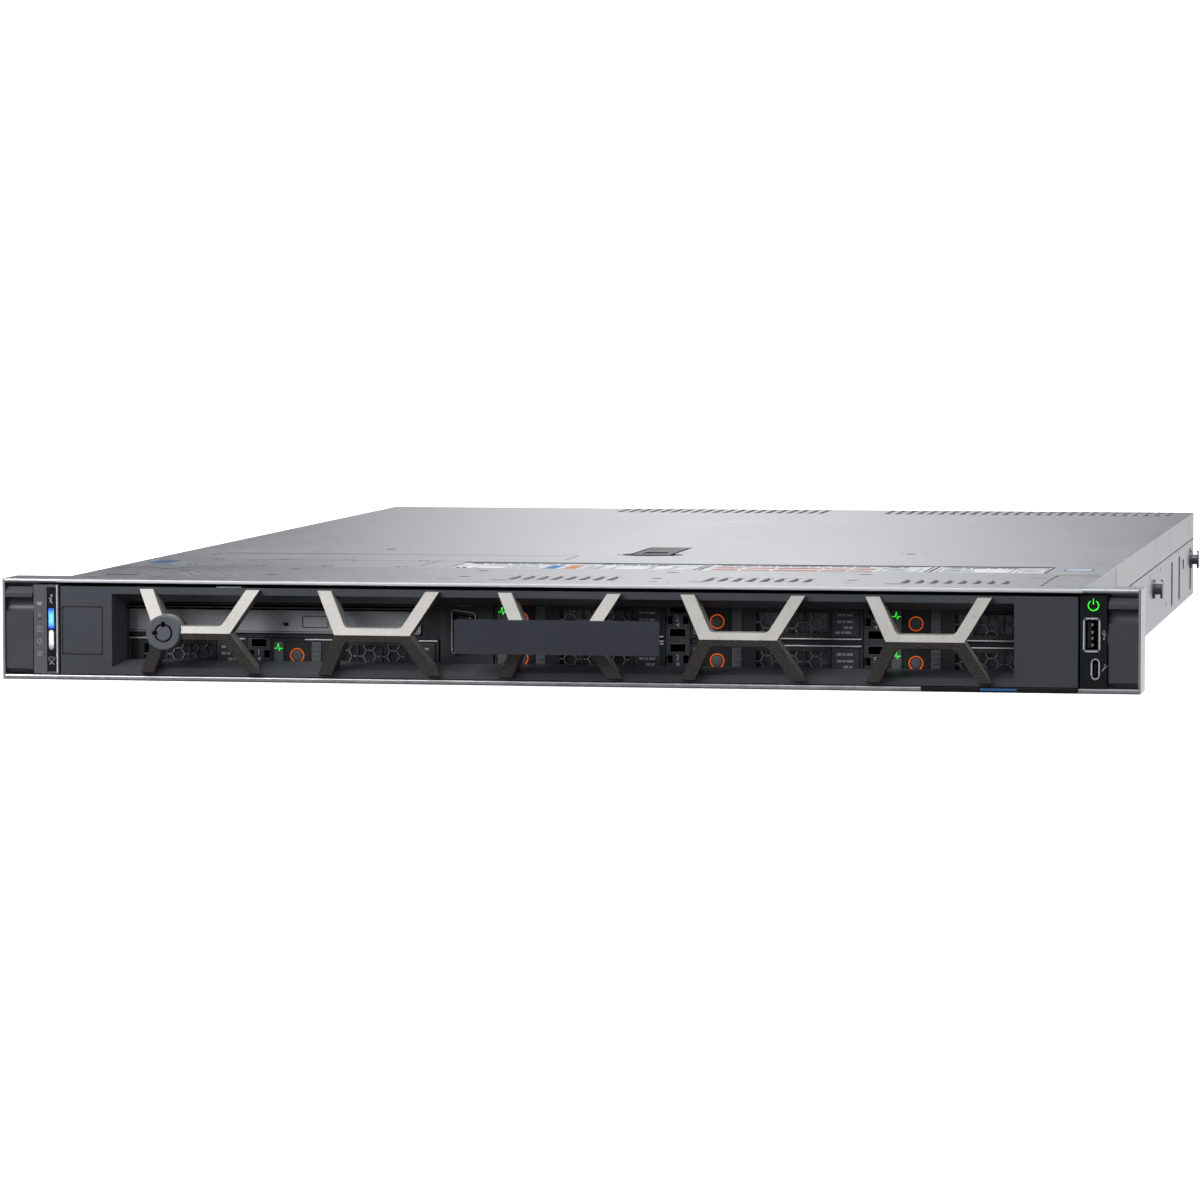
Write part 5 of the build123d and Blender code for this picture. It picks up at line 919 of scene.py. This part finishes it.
def service_label():
    """The label in the cover's recess: plain fields, bars and boxes without words."""
    (x0, x1), (y0, y1) = LABEL_AREA
    low, high = TOP - 0.2, TOP - 0.1
    blocks("service_label", "cover", "label_paper",
           [((x0 + 1, x1 - 1), (y0 + 1, y1 - 1), (TOP - 0.45, TOP - 0.14))], 0.1)
    red = [(a, b, front, front + 6) for a, b in ((45.6, 57.2), (58.6, 71.4), (72.8, 92), (93.4, 104.6),
                                                 (106, 116)) for front in (85, 99)]
    white = [(-57.6, -47.6, 85, 96), (19.2, 25.6, 92, 108), (160, 165.5, 90, 99), (168, 173.5, 90, 99),
             (4, 15, 86, 96)]
    lines = [(-68, 36, 119.5, 120.3), (42, 136, 119.5, 120.3), (142, 190, 119.5, 120.3)]
    for left, right, front, rear in ((-60, -45.5, 84.5, 97), (-44.4, -33.5, 86, 104), (-10.7, -4.4, 86, 106),
                                     (1.1, 17.4, 84.8, 110), (18, 27.4, 90, 110), (119.2, 135.4, 86, 112),
                                     (143.4, 156, 86, 114), (157.5, 176, 86, 114), (178, 190.5, 86, 114)):
        lines += [(left, right, front, front + 0.6), (left, right, rear - 0.6, rear),
                  (left, left + 0.5, front, rear), (right - 0.5, right, front, rear)]
    lines += [(left, left + 7.5, front, front + 0.7) for left in (121.5, 146, 180.5)
              for front in (90, 94, 98, 102, 106)]
    lines += [(x, x + 0.6, 87, 103) for x in (-42.5, -39.5, -36.5, -9, -6.5)]
    titles = [(*span, 114, 117.6) for start, end in ((-66, -20), (-8, 22), (46, 112), (120, 132), (147, 184))
              for span in in_row(start, end, (5, 2.4, 6.2, 3.6, 1.8, 4.8, 7, 2.8, 4, 5.4, 3.2, 6), 1.2)]
    # The band along the recess's rear edge, from X -71 to 192 at Y 126.2 to 127, is painted shadow of the recess
    # wall.
    dividers_and_edge_shade = [(38.2, 39, 83.5, 126), (40.2, 41.4, 83.5, 126), (138.6, 139.4, 83.5, 126),
                (140.6, 141.8, 83.5, 126), (190.9, 192, 84, 126.8), (-71, 192, 126.2, 127),
                (-70, 37.5, 121.8, 125.6), (42.5, 138, 121.8, 125.6), (143, 190, 121.8, 125.6)]
    for name, look, spots in (("label_blue", "ink_blue", [(-28.5, -23, 84, 108)]),
                              ("label_orange", "ink_orange", [(-19.8, -14.3, 84, 108)]),
                              ("label_red", "ink_red", red), ("label_white", "ink_white", white),
                              ("label_lines", "ink_grey", lines)):
        patches(name, "cover", look, spots, low, high)
    blocks("label_shadow_edge", "cover", "ink_dark",
           [((x0 + 0.2, x1 - 0.2), (y1 - 0.6, y1 - 0.05), (TOP - 0.42, TOP - 0.01))], 0.05)
    patches("label_dividers", "cover", "ink_dark", dividers_and_edge_shade, low, high + 0.03)
    patches("label_titles", "cover", "ink_dark", titles, low, high)


def top_marks():
    """Touch points, dimples and notches of the deck and the cover, the dimples and the notch drawn dark as painted
    shade, and the latch's grip.
    """
    low = TOP - 0.1
    patches("touch_points", "cover", "ink_touch",
            [(-210, -200, 94, 117), (197.5, 210, 101, 104), (197.5, 210, 115, 117), (197.5, 198.3, 101, 117),
             (209.2, 210, 101, 117)], low, MARK_TOP)
    patches("touch_field", "cover", "ink_sky", [(198, 209.6, 102, 116)], low, TOP + 0.006)
    patches("ear_sliver", "chassis", "ink_teal", [(214.6, 221.5, -14.5, -9.5)], low, MARK_TOP)
    deck = [(x, y, 5.6, 4.4) for x in (-134.2, -50, 33.2, 116.6) for y in (22.3, 62.3)]
    deck += [(x, 1.1, 8, 3.4) for x in (-30.9, 53.9, 136.6)]
    deck += [(x, -7.9, 1.6, 1.6) for x in (-36.6, 43.2, 126.2)]
    deck += [(-205.9, -7.8, 8, 4), (-189.5, 55.3, 8, 3), (-185.1, 66.9, 7, 3), (192.3, 49.5, 8, 2),
             (-55.8, 7.8, 6, 2), (35, 1, 5, 2), (117.2, 4.3, 5, 2), (198, 46.1, 2, 2),
             (198.8, 60.8, 2.4, 2.4), (179.7, -2.3, 1.6, 1.6), (191.2, -4.6, 6, 1.4), (207, -2.2, 6, 1.4),
             (-193.3, 19.5, 2, 2)]
    dimples("deck_dimples", "chassis", "dimple_dark", deck)
    # Painted shade: a near-black patch in the deck's notch.
    patches("deck_notch", "chassis", "ink_dark", [(-205, -191, 9, 13.6)], low, MARK_TOP)
    cover = [(x + side, y, 1.9, 4.6) for y, row in ((131, (-186.3, -156.1, -125.8, -92)),
                                                   (85.6, (-186.7, -156.1, -125.2, -91.6, -65.2)))
             for x in row for side in (-1.5, 1.5)]
    cover += [(117, 216.5, 5, 6), (-127.3, 219, 5, 6)]
    dimples("cover_dimples", "cover", "dimple_dark", cover)
    faint = [(111.7, 224.2, 2, 2), (123.1, 226, 2, 2), (-120.6, 227.1, 2, 2), (-134, 226, 2, 2),
             (-97.5, 455.3, 3, 2), (-193, 292.5, 3, 2), (117, 455.3, 3, 2), (8, 470, 3, 2)]
    dimples("cover_faint_dimples", "cover", "ink_grey", faint)
    patches("latch_grip", "latch_lever", "rib_dark",
            [(-5.4, 5.4, y, y + 1.1) for y in (202.5, 205, 207.5, 210, 212.5)], TOP - 0.85, TOP - 0.35, 0.2)


def screens():
    """Punched screens close under the deck's and the cover's vents."""
    patches("deck_screen", "chassis", "screen_mesh", [(-210.5, 207.8, 3.5, 35.5)], TOP - 1.35, TOP - 1.05, 0.1)
    patches("cover_screen", "cover", "screen_mesh", [(-212, 212, 580, 619)], TOP - 1.24, TOP - 1.04,
            0.08)


# Sides and rear

def side_details():
    """Painted shade in near-black plates in and beside the side slots and along the seam under the skirt, small
    holes drawn as grey rings and discs as painted shade, and witness marks on the skirts.
    """
    shade_plates, holes, marks = (bmesh.new() for _ in range(3))
    for side in (-1, 1):
        def span(out, deep):
            return sorted((side * (SIDE + out), side * (SIDE - deep)))
        # Painted shade: a near-black plate in each slot, and a wider one beside it on the sheet so that the slot
        # reads as a deep recess.
        for y, z, height in ((466, -7, 22), (516, -7, 22), (544, -1.6, 4.8), (595, -7, 22)):
            plate(shade_plates, span(-1.02, 1.3), about(y, 1.6), about(z, height / 2 + 0.3), 0.05, 1)
            plate(shade_plates, span(0.04, 0.5), (y + 1.25, y + 8.4), about(z, height / 2), 0.05, 1)
        # Painted shade: each small hole is a grey ring and disc on the sheet.
        for y, z, radius in ((330, 4.7, 1.5), (395, 4.8, 1.3), (514, 6.3, 1.1), (533, 1, 1.3),
                             (180, 4.6, 1.2), (260, -14.5, 1.6), (430, -14.5, 1.6)):
            ring(holes, (side * (SIDE - 0.06), y, z), radius * 0.55, radius, 0.1, (side, 0, 0), 14)
            turned(holes, ((0, 0), (radius * 0.6, 0), (radius * 0.6, 0.05), (0, 0.05)),
                   (side * (SIDE - 0.02), y, z), (side, 0, 0), 14)
        for y in (259, 452, 592):
            plate(marks, span(0.03, 0.1), about(y, 0.25), (12.5, 20.6), 0.02, 1)
        # Painted shade: near-black strips along the seam under the skirt and up at its front end.
        plate(shade_plates, span(0.04, 0.3), (141, 622.6), (7.65, 8.27), 0.05, 1)
        plate(shade_plates, span(0.04, 0.3), (139.6, 141), (8.3, 21), 0.05, 1)
    bmesh.ops.remove_doubles(holes, verts=holes.verts, dist=0.001)
    finished(shade_plates, "side_slot_backs", "chassis", "soot")
    finished(holes, "side_holes", "chassis", "ink_grey")
    finished(marks, "side_marks", "chassis", "dimple_dark")


def screw(heads, slots, x, y, z):
    """A low pan head on the rear wall, with a cross in it drawn as near-black plates: painted shade in the recess.
    """
    radius = 1.9
    level = radius * 0.45
    arm = radius * 0.55
    dome(heads, (x, y, z), radius, level, (0, 1, 0), 18)
    deep = (y + level - 0.25, y + level + 0.03)
    plate(slots, about(x, arm), deep, about(z, 0.22), 0.05, 1)
    plate(slots, about(x, 0.22), deep, about(z, arm), 0.05, 1)


def rear_details():
    """Contacts, lamps, posts, screws and plain numbers on the back."""
    port = SOCKET_FACE
    names = ("gilt", "light_green", "light_amber", "plated", "soot", "socket_blue", "line_silver",
             "connector_black")
    parts = {name: bmesh.new() for name in names}
    for x in (-25.9, 67.1, 87.1):
        for n in range(8):
            plate(parts["gilt"], about(x - 3.6 + n * 1.03, 0.22), (port - 9.5, port - 2), (-5.15, -4.7), 0.06, 1)
        for look, lamp in (("light_green", (x + 3.6, x + 5.8)), ("light_amber", (x - 5.8, x - 3.6))):
            plate(parts[look], lamp, (port - 0.3, port + 0.12), (-3.9, -2.7), 0.15)
    for x in (28.6, 47.6):
        plate(parts["socket_blue"], about(x, 5.4), (port - 10, port - 1.3), (-11.75, -11.35), 0.1)
        for n in range(4):
            plate(parts["gilt"], about(x - 3.6 + 2.4 * n, 0.45), (port - 9, port - 2), (-12, -11.7), 0.06, 1)
    z = -9.05
    for x, rows, look in ((1.6, ((2.1, 5), (0, 5), (-2.1, 5)), "socket_blue"),
                          (114.6, ((1.4, 5), (-1.4, 4)), "connector_black")):
        outline(parts[look], ((x - 7.7, z + 3.3), (x + 7.7, z + 3.3), (x + 6.7, z - 3.3), (x - 6.7, z - 3.3)),
                port - 0.7, port - 0.45)
        for shift, count in rows:
            for n in range(count):
                pin = (x + (n - (count - 1) / 2) * 2.6, port - 0.46, z + shift)
                dome(parts["gilt"], pin, 0.42, 0.12, (0, 1, 0))
        # Painted highlight: the D-shaped sockets' rims are pale, not metallic, silver for their glint.
        loop(parts["line_silver"], ((x - 9.4, z + 4.8), (x + 9.4, z + 4.8), (x + 8, z - 4.8), (x - 8, z - 4.8)),
             0.5, port - 0.1, port + 0.2)
        for side in (-12.4, 12.4):
            turned(parts["plated"], ((1, 0), (2.5, 0), (2.5, 2.6), (2.2, 3), (1, 3)),
                   (x + side, port - 0.05, z), (0, 1, 0), 6)
    for x, z in ((49.1, 16.4), (139.2, 16.4), (-37.3, 16.4), (136.6, -17.8), (0, -18.4), (60, -18.4)):
        screw(parts["plated"], parts["soot"], x, REAR_WALL - 0.02, z)
    for number, x in enumerate((67.1, 87.1), 1):
        digits(f"socket_number_{number}", str(number), 2.6, (x, 2), REAR_WALL - 0.02, REAR_WALL + 0.06,
               "chassis", "ink_pale", 180)
    for name, shape in parts.items():
        finished(shape, f"rear_{name}", "chassis", name)


def supply_details(number, left):
    """A power supply's black inlet lining and rim, its lamp and its plain number."""
    middle, back = -0.4, SUPPLY_FACE
    body = f"psu_{number}"
    lining = bmesh.new()
    loop(lining, soft_box((left + 54, middle), 28.4, 20.8, 2.2), 1.1, back - 0.3, back + 0.9)
    deep = (back - 16.9, back - 0.1)
    for x in ((left + 40.25, left + 40.6), (left + 67.4, left + 67.75)):
        plate(lining, x, deep, about(middle, 8.4), 0.1, 1)
    for z in ((middle - 9.95, middle - 9.6), (middle + 9.6, middle + 9.95)):
        plate(lining, (left + 41.8, left + 66.2), deep, z, 0.1, 1)
    finished(lining, f"{body}_inlet_lining", body, "connector_black")
    blocks(f"{body}_lamp", body, "light_green",
           [((left + 72, left + 73.6), (back - 0.2, back + 0.25), (15.2, 16.8))], 0.3)
    digits(f"{body}_number", str(number), 4, (left + 4.4, 15.2), back - 0.02, back + 0.06, body, "ink_faint", 180)


# Stage, lights and camera

def studio():
    """A pale floor that bends up into a backdrop far behind the case."""
    floor = cad_box[0][2] / MM
    bend = 1500.0
    start = 4500.0
    profile = [(-4000.0, floor), (start, floor)]
    for n in range(1, 11):
        turn = math.radians(9 * n)
        profile.append((start + bend * math.sin(turn), floor + bend * (1 - math.cos(turn))))
    profile.append((start + bend, 6000.0))
    shape = bmesh.new()
    verts = [shape.verts.new((-7000.0, y, z)) for y, z in profile]
    edges = [shape.edges.new(pair) for pair in zip(verts, verts[1:])]
    swept = bmesh.ops.extrude_edge_only(shape, edges=edges)["geom"]
    bmesh.ops.translate(shape, vec=(14000.0, 0, 0), verts=[v for v in swept if isinstance(v, bmesh.types.BMVert)])
    mesh = meshed(shape, "sweep")
    for face in mesh.polygons:
        face.use_smooth = True
    f = Finish("sweep_paper")
    fibre = f.grain(40.0, 3.0)
    colour = f.blend(fibre, paint(240, 241, 242), paint(246, 247, 248))
    mesh.materials.append(f.skin(Base_Color=colour, Roughness=0.9 + fibre * 0.05, Normal=f.bump(fibre, 0.02, 1.0),
                                 Emission_Color=colour, Emission_Strength=0.85))
    sweep = linked("sweep", mesh)
    sweep.visible_diffuse = False
    sweep.visible_glossy = False


def reflector():
    """A softbox panel behind the case that only gloss sees: bright in its middle, dark at its ends."""
    shape = bmesh.new()
    bmesh.ops.create_grid(shape, x_segments=1, y_segments=1, size=0.5)
    bmesh.ops.scale(shape, vec=(9000.0, 4400.0, 1.0), verts=shape.verts)
    bmesh.ops.rotate(shape, cent=(0, 0, 0), matrix=Matrix.Rotation(math.radians(90), 3, "X"), verts=shape.verts)
    bmesh.ops.translate(shape, vec=(0.0, 4000.0, 750.0), verts=shape.verts)
    mesh = meshed(shape, "reflector")
    f = Finish("reflector_cloth")
    from_middle = f.axes()[0] + 620.0
    middle = (from_middle / 760.0).most(from_middle / -640.0).between(1.0, 0.0)
    right = f.axes()[0].between(420.0, 1100.0)
    level = 0.02 + middle * 1.2 + right * 0.95
    colour = f.node("ShaderNodeCombineColor", None, {0: level, 1: level, 2: level})
    mesh.materials.append(f.end(f.node("ShaderNodeEmission", None, {"Color": colour, "Strength": 1.0})))
    panel = linked("reflector", mesh)
    panel.visible_camera = False
    panel.visible_diffuse = False
    panel.visible_shadow = False


def room():
    """Even light all round for the case, weaker from below, and white where the camera looks past it."""
    world = bpy.data.worlds.new("room")
    world.use_nodes = True
    tree = world.node_tree
    tree.nodes.clear()
    way = add_node(tree, "ShaderNodeTexCoord", output="Generated")
    height = add_node(tree, "ShaderNodeSeparateXYZ", None, {"Vector": way}, "Z")
    level = add_node(tree, "ShaderNodeMapRange", None, {"Value": height, "From Min": -0.2, "From Max": 0.6,
                                                        "To Min": 0.1, "To Max": 0.55})
    soft = add_node(tree, "ShaderNodeBackground", None, {"Color": paint(243, 246, 252), "Strength": level})
    white = add_node(tree, "ShaderNodeBackground", None, {"Color": (1.0, 1.0, 1.0, 1.0), "Strength": 1.0})
    seen = add_node(tree, "ShaderNodeLightPath", output="Is Camera Ray")
    mixed = add_node(tree, "ShaderNodeMixShader", None, {0: seen, 1: soft, 2: white})
    add_node(tree, "ShaderNodeOutputWorld", None, {"Surface": mixed})
    bpy.context.scene.world = world


def soft_light(name, place, aim, size, power):
    """A rectangular lamp that the camera doesn't see."""
    lamp = bpy.data.lights.new(name, "AREA")
    lamp.shape = "RECTANGLE"
    lamp.size, lamp.size_y = size
    lamp.energy = power
    holder = linked(name, lamp)
    direction = Vector(aim) - Vector(place)
    holder.matrix_world = Matrix.Translation(place) @ direction.to_track_quat("-Z", "Y").to_matrix().to_4x4()
    holder.visible_camera = False
    return holder


def lights():
    soft_light("key", (-0.9, -1.05, 0.85), (-0.05, 0.0, 0.0), (0.9, 0.7), 20)
    soft_light("overhead", (0.0, 0.45, 1.4), (0.0, 0.4, 0.0), (0.9, 0.6), 6)
    soft_light("side", (2.0, 0.45, 0.45), (0.2, 0.3, 0.0), (1.0, 0.8), 18)
    soft_light("rear", (-0.5, 2.3, 1.3), (0.0, 0.5, 0.0), (1.2, 0.8), 14).visible_glossy = False
    bpy.context.scene.view_settings.view_transform = "Standard"


def camera():
    """The camera that was fitted to the photograph."""
    lens = bpy.data.cameras.new("camera")
    lens.lens = 154.617
    lens.sensor_width = 36.0
    lens.sensor_fit = "HORIZONTAL"
    lens.clip_start = 0.01
    lens.clip_end = 50.0
    holder = linked("camera", lens)
    holder.matrix_world = (Matrix.Translation((0.40884, -2.12010, 0.15616))
                           @ Matrix.Rotation(math.radians(10.58087), 4, "Z")
                           @ Matrix.Rotation(math.radians(90 - 3.78570), 4, "X")
                           @ Matrix.Rotation(math.radians(-0.08457), 4, "Z"))
    bpy.context.scene.camera = holder


left_panel()
right_panel()
drive_bays()
number_strips()
video_port()
optical_details()
bezel_details()
service_label()
top_marks()
screens()
side_details()
rear_details()
for number, left in SUPPLIES:
    supply_details(number, left)
studio()
reflector()
room()
lights()
camera()
